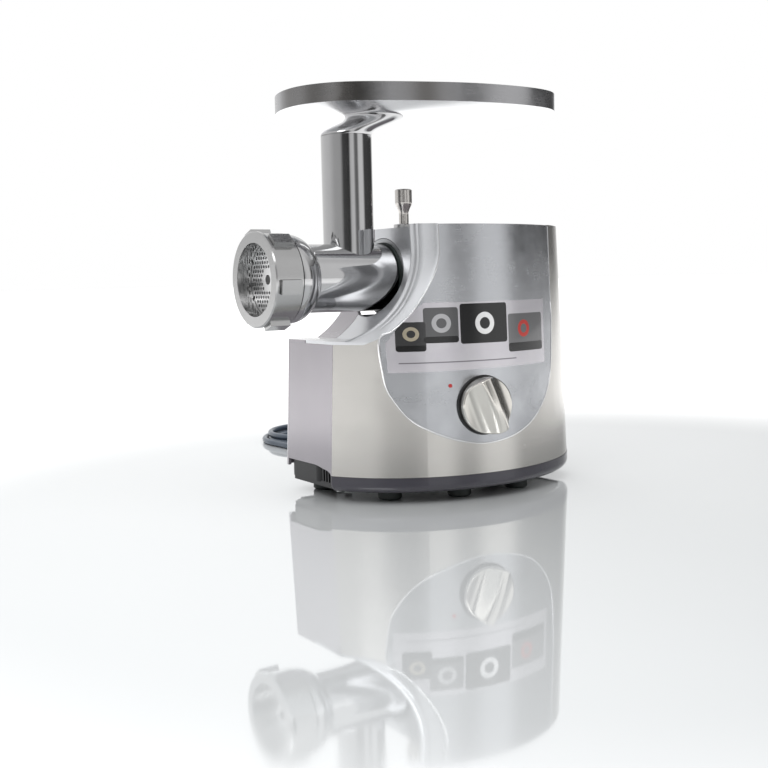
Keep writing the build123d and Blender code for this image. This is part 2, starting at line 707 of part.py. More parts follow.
screenFace, screenThick = -118.3, 4.4
holePitch, holeRadius = 4.05, 1.35
with BuildPart() as screen:
    with BuildSketch(across(screenFace)) as disc:
        Circle(screenRadius)
        Circle(4.1, mode=Mode.SUBTRACT)
        rows = int(29 / (holePitch * 0.866))
        spots = []
        for row in range(-rows, rows + 1):
            for column in range(-9, 10):
                y = (column + (row % 2) / 2) * holePitch
                z = row * holePitch * 0.866
                if 8.3 < sqrt(y * y + z * z) < 28.2:
                    spots.append((y, z))
        with Locations(*spots):
            Circle(holeRadius, mode=Mode.SUBTRACT)
    extrude(amount=screenThick)
    print(f"screen holes: {len(spots)}")
keep(screen.part, "perforated_screen")

nutFront, nutRear = headFront, -105.2
lugCount = 6
with BuildPart() as ringNut:
    add(turned([(nutFront, 29.5), (nutFront, 37.6), (nutFront + 1.0, nutLip), (nutFront + 3.2, nutLip),
                (nutFront + 4.0, nutRadius), (nutRear - 1.0, nutRadius), (nutRear, nutRadius - 1.0),
                (nutRear, 34.5), (screenFace - 0.35, 34.5), (screenFace - 0.35, 29.5)]))
    with BuildSketch(across(nutFront + 3.6)) as lugs:
        with PolarLocations(nutRadius + 0.6, lugCount, start_angle=9):
            Rectangle(2 * (nutReach - nutRadius - 0.6), 11.5)
    extrude(amount=nutRear - nutFront - 8.0)
keep(ringNut.part, "ring_nut")

# ---- tray ---------------------------------------------------------------------------------
trayX, trayY, trayReach = 43.0, 20.0, 108.0
trayEdge = [(-82, 14), (-75, -8), (-60, -27), (-30, -45), (2, -59), (34, -70), (68, -76), (101, -76.5),
            (128, -69), (150, -45), (163, -5), (161, 42), (138, 86), (95, 113), (45, 120.5), (-10, 114),
            (-52, 90), (-76, 55)]
rimBottom, rimTop = 323.0, 338.0
sheet = 1.3
neckX, neckRadius, neckTop = -12.0, 25.0, 317.0


def trayOutline(height, inset):
    """The tray's rounded outline at a height, drawn in towards its middle by an inset."""
    scale = 1 - inset / trayReach
    with BuildSketch(plan(height)) as outline:
        with BuildLine():
            Spline([(trayX + (x - trayX) * scale, trayY + (y - trayY) * scale) for x, y in trayEdge], periodic=True)
        make_face()
    return outline.sketch


def trayBowl(inset, lift):
    """The bowl's floor and neck as one filled shape; the inner one is cut from the outer one."""
    with BuildSketch(plan(neckTop + lift)) as narrow:
        with Locations((neckX, 0)):
            Circle(neckRadius - inset)
    return loft([trayOutline(rimBottom + lift, inset).face(), narrow.sketch.face()])


def trayNeck(radius, low, high):
    """The slanted neck between the tray's floor and the feed tube."""
    with BuildPart() as slanted:
        with BuildSketch(plan(low)) as foot:
            with Locations((tubeX, 0)):
                Circle(radius)
        with BuildSketch(plan(high)) as head:
            with Locations((neckX, 0)):
                Circle(radius + neckRadius - tubeRadius)
        loft()
    return slanted.part


with BuildPart() as trayPan:
    extrude(trayOutline(rimBottom, 0), amount=rimTop - rimBottom)
    add(trayBowl(0, 0))
    extrude(trayOutline(rimBottom + sheet, sheet), amount=rimTop, mode=Mode.SUBTRACT)
    add(trayBowl(sheet, sheet), mode=Mode.SUBTRACT)
    with BuildSketch(plan(neckTop - 1)) as drain:
        with Locations((neckX, 0)):
            Circle(neckRadius - sheet)
    extrude(amount=10, mode=Mode.SUBTRACT)
keep(trayPan.part, "tray_pan")

neckFoot = tubeTop + 0.35
with BuildPart() as neck:
    add(trayNeck(tubeRadius, neckFoot, neckTop - 0.05))
    with BuildSketch(plan(neckFoot - 11)) as spigot:
        with Locations((tubeX, 0)):
            Circle(tubeBore - 0.35)
    extrude(amount=11.5)
    add(trayNeck(tubeRadius - 3.4, neckFoot + 1.5, neckTop + 1.5), mode=Mode.SUBTRACT)
    with BuildSketch(plan(neckFoot - 12)) as spigotBore:
        with Locations((tubeX, 0)):
            Circle(tubeRadius - 3.4)
    extrude(amount=13.6, mode=Mode.SUBTRACT)
keep(neck.part, "tray_neck")

# ---- controls -----------------------------------------------------------------------------
with BuildPart() as knobBezel:
    with BuildSketch(facePlane(-3.4)) as seat:
        Circle(seatRadius)
        Circle(4.6, mode=Mode.SUBTRACT)
    extrude(amount=4.2)
keep(knobBezel.part, "knob_bezel")

with BuildPart() as knob:
    with BuildSketch(facePlane(1.2)) as knobDisc:
        Circle(knobRadius)
    extrude(amount=8.0)
    chamfer(knob.faces().sort_by(Axis(facePlane(0).origin, knobAxis))[-1].edges(), 1.5)
    with BuildSketch(facePlane(9.0)) as ridge:
        with Locations(Rotation(0, 0, knobTilt)):
            SlotOverall(2 * knobRadius - 0.6, 17, rotation=90)
    extrude(amount=12.0)
    fillet(knob.faces().sort_by(Axis(facePlane(0).origin, knobAxis))[-1].edges(), 5.0)
    with BuildSketch(facePlane(1.5)) as spindle:
        Circle(4.0)
    extrude(amount=-20.0)
keep(knob.part, "selector_knob")

with BuildPart() as rotarySwitch:
    with BuildSketch(facePlane(-24.0)) as switchBody:
        Rectangle(30, 26)
        Circle(4.08, mode=Mode.SUBTRACT)
    extrude(amount=20.0)
keep(rotarySwitch.part, "rotary_switch")

# ---- label and dial mark ------------------------------------------------------------------
with BuildPart() as frontLabel:
    extrude(bodyPlan(steelBottom, -0.85), amount=fullHeight, taper=draft)
    extrude(bodyPlan(steelBottom, -0.55), amount=fullHeight, taper=draft, mode=Mode.SUBTRACT)
    with BuildSketch(front(0)) as labelOutline:
        with BuildLine():
            Polyline((-25, 160.5), (95, 160.5), (94, 107), (-51, 105.5), (-51.5, 129), (-43, 142), (-34, 153),
                     (-25, 160.5))
        make_face()
    extrude(amount=160, mode=Mode.INTERSECT)
keep(frontLabel.part, "front_label")

with BuildPart() as dialMark:
    extrude(bodyPlan(steelBottom, -0.9), amount=fullHeight, taper=draft)
    extrude(bodyPlan(steelBottom, -0.55), amount=fullHeight, taper=draft, mode=Mode.SUBTRACT)
    with BuildSketch(front(0)) as markOutline:
        with Locations((-7.6, 94.0)):
            Circle(1.5)
    extrude(amount=160, mode=Mode.INTERSECT)
keep(dialMark.part, "dial_mark")

# ---- fasteners under the base -------------------------------------------------------------
screwSpots = [(-20, -40), (100, -60), (-30, 28), (105, 28)]
with BuildPart() as baseScrews:
    with BuildSketch(plan(footHeight - 0.8)) as screwHeads:
        with Locations(*screwSpots):
            Circle(3.6)
    extrude(amount=2.25)
    with BuildSketch(plan(footHeight - 0.8)) as screwSlots:
        with Locations(*screwSpots):
            Rectangle(5.2, 1.0)
            Rectangle(1.0, 5.2)
    extrude(amount=1.0, mode=Mode.SUBTRACT)
keep(baseScrews.part, "base_screws")

# ---- mains cord ---------------------------------------------------------------------------
bootLength = 34.0
exitX, exitZ = cordExit
exitY = backY - rearWall


def behind(y):
    """A plane that faces backwards: its normal runs along +Y."""
    return Plane(origin=(outletX + exitX, axisY + y, exitZ), x_dir=(-1, 0, 0), z_dir=(0, 1, 0))


with BuildPart() as cordGland:
    with BuildSketch(behind(exitY - 6)) as nipple:
        Circle(8.4)
    extrude(amount=9.0)
    with BuildSketch(behind(exitY + 3.0)) as collar:
        Circle(10.0)
    extrude(amount=2.5)
    with BuildSketch(behind(exitY + 5.5)) as bootFoot:
        Circle(6.6)
    with BuildSketch(behind(exitY + 5.5 + bootLength)) as bootEnd:
        Circle(cordRadius + 1.0)
    loft()
    for ring in range(6):
        with BuildSketch(behind(exitY + 9.5 + ring * 4.4)) as rib:
            Circle(7.2 - ring * 0.4)
        extrude(amount=2.2)
    with BuildSketch(behind(exitY - 10)) as cordPassage:
        Circle(cordRadius + 0.05)
    extrude(amount=80, mode=Mode.SUBTRACT)
keep(cordGland.part, "cord_gland")

coilX, coilY = 90.0, 272.0
coilInner, coilOuter = 46.0, 70.0
leadRoute = [(exitX, exitY + 4, exitZ), (exitX, exitY + 52, exitZ), (74.5, 122, 27), (67, 145, 13),
             (56, 166, 4.2), (43, 188, cordRadius), (32, 211, cordRadius), (25.5, 235, cordRadius),
             (23.2, 256, cordRadius)]
tailRoute = [(coilX + 66, coilY - 14, 9.3), (coilX + 68.5, coilY - 37, 9.6), (coilX + 68, coilY - 60, 11.5)]


def cornerRadii(points):
    """The largest radius that each corner's two runs allow."""
    radii = []
    for before, here, after in zip(points, points[1:], points[2:]):
        inward, outward = Vector(here) - Vector(before), Vector(after) - Vector(here)
        half = radians(inward.get_angle(outward)) / 2
        radii.append(0.45 * min(inward.length, outward.length) / tan(half))
    return radii


def cordTube(route, name):
    """A round tube along straight runs joined by tangent arcs."""
    points = [(outletX + x, axisY + y, z) for x, y, z in route]
    radii = cornerRadii(points)
    with BuildPart() as tube:
        with BuildLine() as line:
            FilletPolyline(*points, radius=radii)
        with BuildSketch(Plane(origin=line.line @ 0, z_dir=line.line % 0)):
            Circle(cordRadius)
        sweep()
    length = sum(edge.length for edge in line.edges())
    fullness = tube.part.volume / (length * pi * cordRadius ** 2)
    print(f"{name}: {length:.0f} mm long, radii {[round(radius) for radius in radii]}, volume ratio {fullness:.4f}")
    return tube.part


powerCord = cordTube(leadRoute, "power_cord")
keep(powerCord, "power_cord")
cordTail = cordTube(tailRoute, "cord_tail")
keep(cordTail, "cord_tail")

with BuildPart() as cordCoil:
    with BuildSketch(plan(0)) as coilRing:
        with Locations((coilX, coilY)):
            Circle(coilOuter)
            Circle(coilInner, mode=Mode.SUBTRACT)
    extrude(amount=4 * cordRadius)
    fillet(cordCoil.edges(), 3.0)
keep(cordCoil.part, "cord_coil")

plugX, plugY, plugCentre = tailRoute[-1]


def plugPlane(y):
    """A plane across the plug, whose pins point along -Y."""
    return Plane(origin=(outletX + plugX, axisY + y, plugCentre), x_dir=(1, 0, 0), z_dir=(0, -1, 0))


with BuildPart() as cordPlug:
    with BuildSketch(plugPlane(plugY)) as plugTail:
        Circle(5.0)
    with BuildSketch(plugPlane(plugY - 16)) as plugWaist:
        RectangleRounded(26, 19, 8)
    loft()
    with BuildSketch(plugPlane(plugY - 16)) as plugBody:
        RectangleRounded(36, 23, 9)
    extrude(amount=24)
    chamfer(cordPlug.faces().sort_by(Axis.Y)[0].edges(), 1.0)
keep(cordPlug.part, "cord_plug")

with BuildPart() as plugPins:
    with BuildSketch(plugPlane(plugY - 40.05)) as pins:
        with GridLocations(19.0, 0, 2, 1):
            Circle(2.4)
    extrude(amount=19.0)
    chamfer(plugPins.faces().group_by(Axis.Y)[0].edges(), 0.8)
keep(plugPins.part, "plug_pins")
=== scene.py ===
import json
from math import cos, pi, radians, sin, sqrt, tan

import bmesh
import bpy
from mathutils import Matrix, Vector


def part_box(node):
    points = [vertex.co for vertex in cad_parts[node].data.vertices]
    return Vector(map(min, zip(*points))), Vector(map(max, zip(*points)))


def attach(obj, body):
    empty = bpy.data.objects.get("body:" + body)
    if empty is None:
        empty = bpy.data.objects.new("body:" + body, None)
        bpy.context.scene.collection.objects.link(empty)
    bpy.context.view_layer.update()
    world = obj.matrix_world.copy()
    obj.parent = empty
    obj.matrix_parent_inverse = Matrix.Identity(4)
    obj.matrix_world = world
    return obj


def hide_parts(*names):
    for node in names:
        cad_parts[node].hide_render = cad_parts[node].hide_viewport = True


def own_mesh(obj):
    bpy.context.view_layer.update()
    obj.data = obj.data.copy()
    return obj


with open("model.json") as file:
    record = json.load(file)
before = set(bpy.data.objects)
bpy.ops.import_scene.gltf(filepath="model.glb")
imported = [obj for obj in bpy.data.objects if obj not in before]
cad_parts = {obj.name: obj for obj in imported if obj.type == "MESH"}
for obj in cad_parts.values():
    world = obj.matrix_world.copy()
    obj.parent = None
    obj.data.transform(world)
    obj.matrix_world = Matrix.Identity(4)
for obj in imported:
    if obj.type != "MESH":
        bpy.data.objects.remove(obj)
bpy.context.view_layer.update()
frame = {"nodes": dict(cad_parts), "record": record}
nodes = frame["nodes"]
mounts = {mount["name"]: mount for mount in frame["record"]["mounts"]}
axisY, axisZ = mounts["ring_nut_mouth"]["pos_m"][1:]
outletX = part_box("outlet_gasket")[1][0] + 0.00605  # the gasket ends 6.05 mm short of the line
print("frame loaded:", len(nodes), "nodes")


def at(x, y, z):
    # millimetres from the outlet's centre line, and above the table, to metres in the frame
    return Vector((outletX + x / 1000, axisY + y / 1000, z / 1000))


class Wire:
    # a node's output that takes part in Python expressions
    def __init__(self, shading, socket):
        self.shading = shading
        self.socket = socket

    def maths(self, operation, first, second=0.0):
        return self.shading.node("Math", {"operation": operation}, {0: first, 1: second})

    def __add__(self, other):
        return self.maths("ADD", self, other)

    def __sub__(self, other):
        return self.maths("SUBTRACT", self, other)

    def __mul__(self, other):
        return self.maths("MULTIPLY", self, other)

    def __truediv__(self, other):
        return self.maths("DIVIDE", self, other)

    def __rsub__(self, other):
        return self.maths("SUBTRACT", other, self)

    def __rtruediv__(self, other):
        return self.maths("DIVIDE", other, self)

    def __gt__(self, other):
        return self.maths("GREATER_THAN", self, other)

    def __lt__(self, other):
        return self.maths("LESS_THAN", self, other)

    def __pow__(self, other):
        return self.maths("POWER", self, other)

    def __abs__(self):
        return self.maths("ABSOLUTE", self)

    __radd__ = __add__
    __rmul__ = __mul__


class Shading:
    # a shader's tree, with one method that adds any node to it
    def __init__(self, tree):
        self.tree = tree

    def plug(self, value, socket):
        if isinstance(value, Wire):
            self.tree.links.new(value.socket, socket)
        elif isinstance(value, tuple) and socket.type == "RGBA" and len(value) == 3:
            socket.default_value = (*value, 1.0)
        else:
            socket.default_value = value

    def node(self, kind, settings=None, inputs=None, output=0):
        node = self.tree.nodes.new("ShaderNode" + kind)
        for key, value in (settings or {}).items():
            if key == "stops":
                ramp = node.color_ramp.elements
                while len(ramp) < len(value):
                    ramp.new(0.5)
                for element, (place, level) in zip(ramp, value):
                    element.position = place
                    element.color = (level, level, level, 1) if isinstance(level, float) else (*level, 1)
            else:
                setattr(node, key, value)
        for key, value in (inputs or {}).items():
            self.plug(value, node.inputs[key])
        return Wire(self, node.outputs[output])

    def place(self):
        return self.node("TexCoord", output=3)

    def axes(self):
        split = self.node("SeparateXYZ", inputs={0: self.place()}).socket.node
        return [Wire(self, socket) for socket in split.outputs]

    def noise(self, stretch, detail=3.0, roughness=0.55, scale=1.0):
        spread = self.node("VectorMath", {"operation": "MULTIPLY"}, {0: self.place(), 1: stretch})
        return self.node("TexNoise", inputs={"Vector": spread, "Scale": scale, "Detail": detail,
                                             "Roughness": roughness})

    def between(self, amount, low, high):
        # a colour between two others
        return self.node("Mix", {"data_type": "RGBA"}, {0: amount, 6: low, 7: high}, output=2)

    def levels(self, value, *stops):
        return self.node("ValToRGB", {"stops": stops}, {0: value})


class Finish(Shading):
    # a material and its main shader
    socketNames = {"colour": "Base Color", "coat": "Coat Weight", "coatRoughness": "Coat Roughness",
                   "specular": "Specular IOR Level", "aniso": "Anisotropic",
                   "anisoTurn": "Anisotropic Rotation"}

    def __init__(self, name, **surface):
        self.material = bpy.data.materials.new(name)
        self.material.use_nodes = True
        super().__init__(self.material.node_tree)
        self.shader = self.tree.nodes["Principled BSDF"]
        for socket, value in surface.items():
            self.set(socket, value)

    def set(self, socket, value):
        self.plug(value, self.shader.inputs[self.socketNames.get(socket, socket.capitalize())])

    def bump(self, height, strength, distance):
        self.set("normal", self.node("Bump", inputs={"Height": height, "Strength": strength,
                                                     "Distance": distance}))


def shade(colour, factor):
    return tuple(min(1.0, part * factor) for part in colour)


brushing = {  # grain is how finely the scratches repeat along X, Y and Z
    "wrap": {"colour": (0.57, 0.555, 0.53), "rough": 0.25, "grain": (14, 14, 4200),
             "cloud": 0.05, "bump": 0.02},
    "panel": {"colour": (0.46, 0.47, 0.49), "rough": 0.25, "grain": (60, 60, 3600),
              "cloud": 0.12, "bump": 0.012},
    "tray": {"colour": (0.36, 0.36, 0.37), "rough": 0.25, "grain": (30, 30, 2200),
             "cloud": 0.10, "bump": 0.10},
    "turned": {"colour": (0.52, 0.50, 0.48), "rough": 0.22, "grain": (90, 90, 3800),
               "cloud": 0.04, "bump": 0.10},
    "nut": {"colour": (0.40, 0.40, 0.40), "rough": 0.17, "grain": (60, 3600, 3600),
            "cloud": 0.06, "bump": 0.015},
    "ground": {"colour": (0.74, 0.74, 0.74), "rough": 0.40, "grain": (900, 3000, 500),
               "cloud": 0.05, "bump": 0.02},
}


def brushed(name, look):
    # drawn metal: fine parallel scratches over a slow change of sheen
    finish = Finish(name, metallic=1.0, aniso=0.45, anisoTurn=0.25)
    grain = finish.noise(look["grain"], detail=5.0, roughness=0.7)
    cloud = finish.noise((1, 1, 1), detail=4.0, roughness=0.6, scale=38.0)
    finish.set("colour", finish.between(grain, shade(look["colour"], 0.90), shade(look["colour"], 1.08)))
    finish.set("roughness", (grain - 0.5) * 0.07 + (cloud - 0.5) * (2 * look["cloud"]) + look["rough"])
    finish.bump(grain, look["bump"], 0.0002)
    return finish.material


def polished(name, colour=(0.74, 0.74, 0.75), rough=0.075, smear=0.10):
    # mirror polish with faint smears and hairline scratches
    finish = Finish(name, metallic=1.0)
    smears = finish.noise((1, 1, 1), detail=5.0, roughness=0.65, scale=45.0)
    hairs = finish.noise((900, 60, 60), detail=2.0)
    finish.set("colour", finish.between(smears, shade(colour, 0.93), shade(colour, 1.05)))
    finish.set("roughness", smears * smears * smear + rough)
    finish.bump(hairs, 0.03, 0.0001)
    return finish.material


bores = {  # from X, to X, and a radius a little over the bore's, in metres
    "mouth": (-0.1303, -0.1135, 0.0325),
    "barrel": (-0.1135, 0.1, 0.0243),
}


class Reworked(Finish):
    # a finished material taken up again, so that more can be laid over it
    def __init__(self, material):
        self.material, self.tree = material, material.node_tree
        self.shader = self.tree.nodes["Principled BSDF"]

    def current(self, name):
        return Wire(self, self.shader.inputs[name].links[0].from_socket)


def bored(name, **look):
    # polished metal with painted shade in its bores along the head's axis: there it is coloured near black
    # and made duller
    finish = Reworked(polished(name, **look))
    x, y, z = finish.axes()
    radius = ((y - axisY) ** 2.0 + (z - axisZ) ** 2.0) ** 0.5
    inside = 0.0
    for low, high, reach in bores.values():
        inside = (radius < reach) * (x > low) * (x < high) + inside
    # painted shade: inside the bores the colour goes to near black
    finish.set("colour", finish.between(inside, finish.current("Base Color"), (0.03, 0.03, 0.03)))
    finish.set("roughness", finish.current("Roughness") + inside * 0.5)
    return finish.material


def trayMetal(name):
    # the rim darkened in vertical patches as painted dark reflections; the underside coloured bright as a
    # painted reflection of the floor
    finish = Reworked(brushed(name, brushing["tray"]))
    under = finish.axes()[2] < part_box("tray_pan")[0][2] + 0.0061  # below the drawn rim
    # painted reflections: vertical patches of the rim go towards near black
    darkReflectionPatches = finish.levels(finish.noise((1, 1, 0.1), detail=1.0, scale=16.0), (0.38, 0.0), (0.60, 1.0))
    rimWithDarkReflections = finish.between(darkReflectionPatches, (0.13, 0.125, 0.12), finish.current("Base Color"))
    # painted reflection: below the rim the colour is a bright grey, the white floor mirrored in it
    finish.set("colour", finish.between(under, rimWithDarkReflections, (0.60, 0.60, 0.61)))
    finish.set("roughness", finish.current("Roughness") - under * 0.05)
    return finish.material


def castSilver(name):
    # silver-painted casting: even, slightly pearly
    finish = Finish(name, metallic=0.85, coat=0.35, coatRoughness=0.12)
    fleck = finish.noise((1, 1, 1), detail=2.0, scale=2600.0)
    cloud = finish.noise((1, 1, 1), detail=3.0, scale=30.0)
    finish.set("colour", finish.between(cloud, (0.56, 0.57, 0.59), (0.66, 0.67, 0.69)))
    finish.set("roughness", fleck * 0.08 + cloud * 0.06 + 0.22)
    finish.bump(fleck, 0.04, 0.0001)
    return finish.material


def moulded(name, colour, rough, grain=0.0, coat=0.0):
    # moulded plastic or rubber with a fine skin texture
    finish = Finish(name, coat=coat, coatRoughness=0.08, specular=0.5)
    skin = finish.noise((1, 1, 1), detail=3.0, scale=1400.0)
    cloud = finish.noise((1, 1, 1), detail=3.0, scale=24.0)
    finish.set("colour", finish.between(cloud, shade(colour, 0.88), shade(colour, 1.12)))
    finish.set("roughness", cloud * 0.08 + skin * 0.06 + rough)
    finish.bump(skin, grain, 0.0002)
    return finish.material


def grained(name, colour, metallic, roughness, scale=500.0, strength=0.25):
    # plain castings, windings and other hidden works
    finish = Finish(name, metallic=metallic)
    grain = finish.noise((1, 1, 1), detail=4.0, scale=scale)
    finish.set("colour", finish.between(grain, shade(colour, 0.8), shade(colour, 1.15)))
    finish.set("roughness", grain * 0.15 + roughness)
    finish.bump(grain, strength, 0.0003)
    return finish.material


label = {
    "panels": [  # x centre, height, half width, half height, grey level
        (24.5, 143.0, 22.0, 16.0, 0.012), (-12.5, 143.0, 13.5, 13.5, 0.10), (-35.0, 134.0, 10.5, 11.5, 0.05),
        (69.5, 134.0, 21.5, 15.5, 0.16), (69.5, 122.0, 21.5, 3.6, 0.012), (-12.5, 131.0, 13.5, 2.6, 0.012),
        (-35.0, 124.5, 10.5, 2.4, 0.012)],
    "corner": 2.2,
    "rings": [  # x centre, height, radius, colour
        (24.5, 143.0, 9.5, (0.75, 0.75, 0.75)), (-12.5, 144.0, 8.0, (0.42, 0.42, 0.43)),
        (66.0, 137.0, 7.5, (0.55, 0.06, 0.05)), (-35.0, 136.0, 6.0, (0.45, 0.40, 0.30))],
    "ringMiddle": 0.72, "ringHalfWidth": 0.22,  # as parts of a ring's radius
    "rule": {"height": 113.0, "centre": 6.0, "halfLength": 50.0, "halfWidth": 0.5},
}


def labelFilm(name):
    # a silver film that carries plain dark panels with round corners, rings and a thin rule
    finish = Finish(name, metallic=0.55, roughness=0.22, coat=0.6, coatRoughness=0.05)
    x, y, z = finish.axes()
    across, up = (x - outletX) * 1000, z * 1000
    colour = finish.between(finish.noise((1, 1, 1), scale=60.0), (0.50, 0.48, 0.52), (0.60, 0.59, 0.61))
    corner = label["corner"]
    for centre, height, halfWide, halfTall, level in label["panels"]:
        overX = abs(across - centre) - (halfWide - corner)
        overZ = abs(up - height) - (halfTall - corner)
        overX, overZ = overX.maths("MAXIMUM", overX, 0.0), overZ.maths("MAXIMUM", overZ, 0.0)
        inside = (overX * overX + overZ * overZ) < corner * corner
        colour = finish.between(inside, colour, (level, level, level * 1.03))
    for centre, height, radius, tone in label["rings"]:
        dx, dz = across - centre, up - height
        distance = (dx * dx + dz * dz) ** 0.5
        ring = abs(distance - radius * label["ringMiddle"]) < radius * label["ringHalfWidth"]
        colour = finish.between(ring, colour, tone)
    rule = label["rule"]
    near = abs(up - rule["height"]) < rule["halfWidth"]
    within = abs(across - rule["centre"]) < rule["halfLength"]
    finish.set("colour", finish.between(near * within, colour, (0.20, 0.19, 0.21)))
    return finish.material


def leftPanelGloss(name):
    # glossy grey moulding that mirrors its surroundings softly
    finish = Finish(name, coat=1.0, coatRoughness=0.04, specular=0.6, metallic=0.35)
    cloud = finish.noise((1, 1, 1), detail=2.0, scale=14.0)
    finish.set("colour", finish.between(cloud, (0.24, 0.225, 0.25), (0.34, 0.31, 0.34)))
    finish.set("roughness", cloud * 0.08 + 0.14)
    return finish.material


finishes = {
    "brushed_steel_wrap": brushed("wrapSteel", brushing["wrap"]),
    "panel_aluminium": brushed("panelAluminium", brushing["panel"]),
    "cast_silver": castSilver("castSilver"),
    "grey_panel": leftPanelGloss("greyGloss"),
    "base_plastic": moulded("skirtPlastic", (0.040, 0.037, 0.050), 0.14, coat=0.45),
    "black_plastic": moulded("blackPlastic", (0.012, 0.012, 0.013), 0.30, grain=0.15),
    "foot_rubber": moulded("footRubber", (0.012, 0.018, 0.016), 0.45, grain=0.2),
    "fastener_steel": grained("fastenerSteel", (0.55, 0.55, 0.55), 1.0, 0.25, 900.0, 0.1),
    "die_cast": grained("dieCast", (0.45, 0.46, 0.47), 1.0, 0.38),
    "lamination_steel": grained("laminationSteel", (0.30, 0.30, 0.32), 1.0, 0.35, 1200.0),
    "copper_winding": grained("copperWinding", (0.72, 0.32, 0.15), 1.0, 0.3, 1500.0, 0.5),
    "brass_fittings": polished("brassFittings", (0.80, 0.62, 0.30), 0.16),
    "carbon": grained("carbonBlock", (0.03, 0.03, 0.03), 0.0, 0.5),
    "label_film": labelFilm("labelFilm"),
    "mark_red": moulded("markRed", (0.50, 0.03, 0.03), 0.3),
    "cord_rubber": moulded("cordRubber", (0.055, 0.075, 0.105), 0.28, grain=0.1, coat=0.3),
    "gear_nylon": moulded("gearNylon", (0.62, 0.60, 0.52), 0.35),
    "gear_steel": grained("gearSteel", (0.42, 0.42, 0.43), 1.0, 0.28),
    "polished_metal": bored("polishedMetalBoreShade", colour=(0.47, 0.47, 0.475), rough=0.05),
    "knife_steel": brushed("groundSteel", brushing["ground"]),
    "tray_steel": trayMetal("traySteelPaintedReflections"),
    "turned_steel": brushed("turnedSteel", brushing["turned"]),
    "knob_satin": polished("knobSatin", (0.66, 0.64, 0.60), 0.17),
}
special = {  # single nodes that look unlike the rest of their slot
    "ring_nut": brushed("nutSatin", brushing["nut"]),
    # painted shade: the feed screw and the knife sit deep in the barrel and are coloured near black
    "feed_screw": grained("screwShadowed", (0.10, 0.10, 0.10), 1.0, 0.5),
    "cutting_knife": grained("knifeShadowed", (0.10, 0.10, 0.10), 1.0, 0.4),
}
for part in frame["record"]["subparts"]:
    mesh = nodes[part["node"]].data
    mesh.materials.clear()
    mesh.materials.append(special.get(part["node"], finishes[part["material_slot"]]))
print("finishes made:", len(finishes))


def finishMesh(name, mesh, body, slotName, sharpAngle=35.0):
    # shades a mesh smooth with its corners kept, and gives it its body and finish
    bm = bmesh.new()
    bm.from_mesh(mesh)
    bmesh.ops.remove_doubles(bm, verts=bm.verts, dist=1e-6)
    bmesh.ops.recalc_face_normals(bm, faces=bm.faces)
    for face in bm.faces:
        face.smooth = True
    for edge in bm.edges:
        if len(edge.link_faces) == 2:
            edge.smooth = edge.calc_face_angle(0) < radians(sharpAngle)
    bm.to_mesh(mesh)
    bm.free()
    mesh.materials.clear()
    mesh.materials.append(finishes[slotName])
    piece = bpy.data.objects.new(name, mesh)
    bpy.context.collection.objects.link(piece)
    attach(piece, body)
    return piece


def gridFaces(rows, columns, closed=False):
    wrap = columns if closed else columns - 1
    return [(row * columns + column, row * columns + (column + 1) % columns,
             (row + 1) * columns + (column + 1) % columns, (row + 1) * columns + column)
            for row in range(rows - 1) for column in range(wrap)]


def eased(part):
    # from 0 to 1, level at both ends
    return part * part * (3 - 2 * part)


def meshFrom(name, points, faces):
    mesh = bpy.data.meshes.new(name)
    mesh.from_pydata([tuple(point) for point in points], [], faces)
    return mesh


def faceOut(mesh):
    # turns a closed mesh's faces outwards
    bm = bmesh.new()
    bm.from_mesh(mesh)
    bmesh.ops.recalc_face_normals(bm, faces=bm.faces)
    bm.to_mesh(mesh)
    bm.free()


def evaluated(piece, name):
    # the piece's mesh with its modifiers worked in
    depsgraph = bpy.context.evaluated_depsgraph_get()
    mesh = bpy.data.meshes.new_from_object(piece.evaluated_get(depsgraph))
    mesh.name = name
    bpy.data.objects.remove(piece)
    return mesh


def temporary(name, mesh):
    piece = bpy.data.objects.new(name, mesh)
    bpy.context.collection.objects.link(piece)
    return piece


class Tree:
    # a Geometry Nodes tree built in the script, run on a mesh and turned into a plain one
    def __init__(self, name, **sizes):
        self.tree = bpy.data.node_groups.new(name, "GeometryNodeTree")
        self.tree.interface.new_socket("Geometry", in_out="INPUT", socket_type="NodeSocketGeometry")
        self.identifiers = {}
        for key, value in sizes.items():
            kind = "NodeSocketInt" if isinstance(value, int) else "NodeSocketFloat"
            socket = self.tree.interface.new_socket(key, in_out="INPUT", socket_type=kind)
            self.identifiers[key] = (socket.identifier, value)
        self.tree.interface.new_socket("Geometry", in_out="OUTPUT", socket_type="NodeSocketGeometry")
        self.entry = self.tree.nodes.new("NodeGroupInput")
        self.sizes = {key: self.entry.outputs[key] for key in sizes}

    def node(self, kind, settings=None, inputs=None, output=0):
        node = self.tree.nodes.new(kind)
        for key, value in (settings or {}).items():
            setattr(node, key, value)
        for key, value in (inputs or {}).items():
            if hasattr(value, "is_output"):
                self.tree.links.new(value, node.inputs[key])
            else:
                node.inputs[key].default_value = value
        return node.outputs[output]

    def maths(self, operation, first, second=0.0):
        return self.node("ShaderNodeMath", {"operation": operation}, {0: first, 1: second})

    def finish(self, geometry, material):
        real = self.node("GeometryNodeRealizeInstances", inputs={0: geometry})
        dressed = self.node("GeometryNodeSetMaterial", inputs={"Geometry": real, "Material": material})
        leave = self.tree.nodes.new("NodeGroupOutput")
        self.tree.links.new(dressed, leave.inputs[0])

    def run(self, name, mesh):
        piece = temporary(name, mesh)
        modifier = piece.modifiers.new(name, "NODES")
        modifier.node_group = self.tree
        for identifier, value in self.identifiers.values():
            modifier[identifier] = value
        return evaluated(piece, name)


shot = {"eye": (-525.0, -766.8, 180.0), "turn": 34.0, "pitch": 5.62, "roll": 1.3, "lens": 50.0,
        "sensor": 36.0}  # the eye's place as at() takes it, and turns in degrees


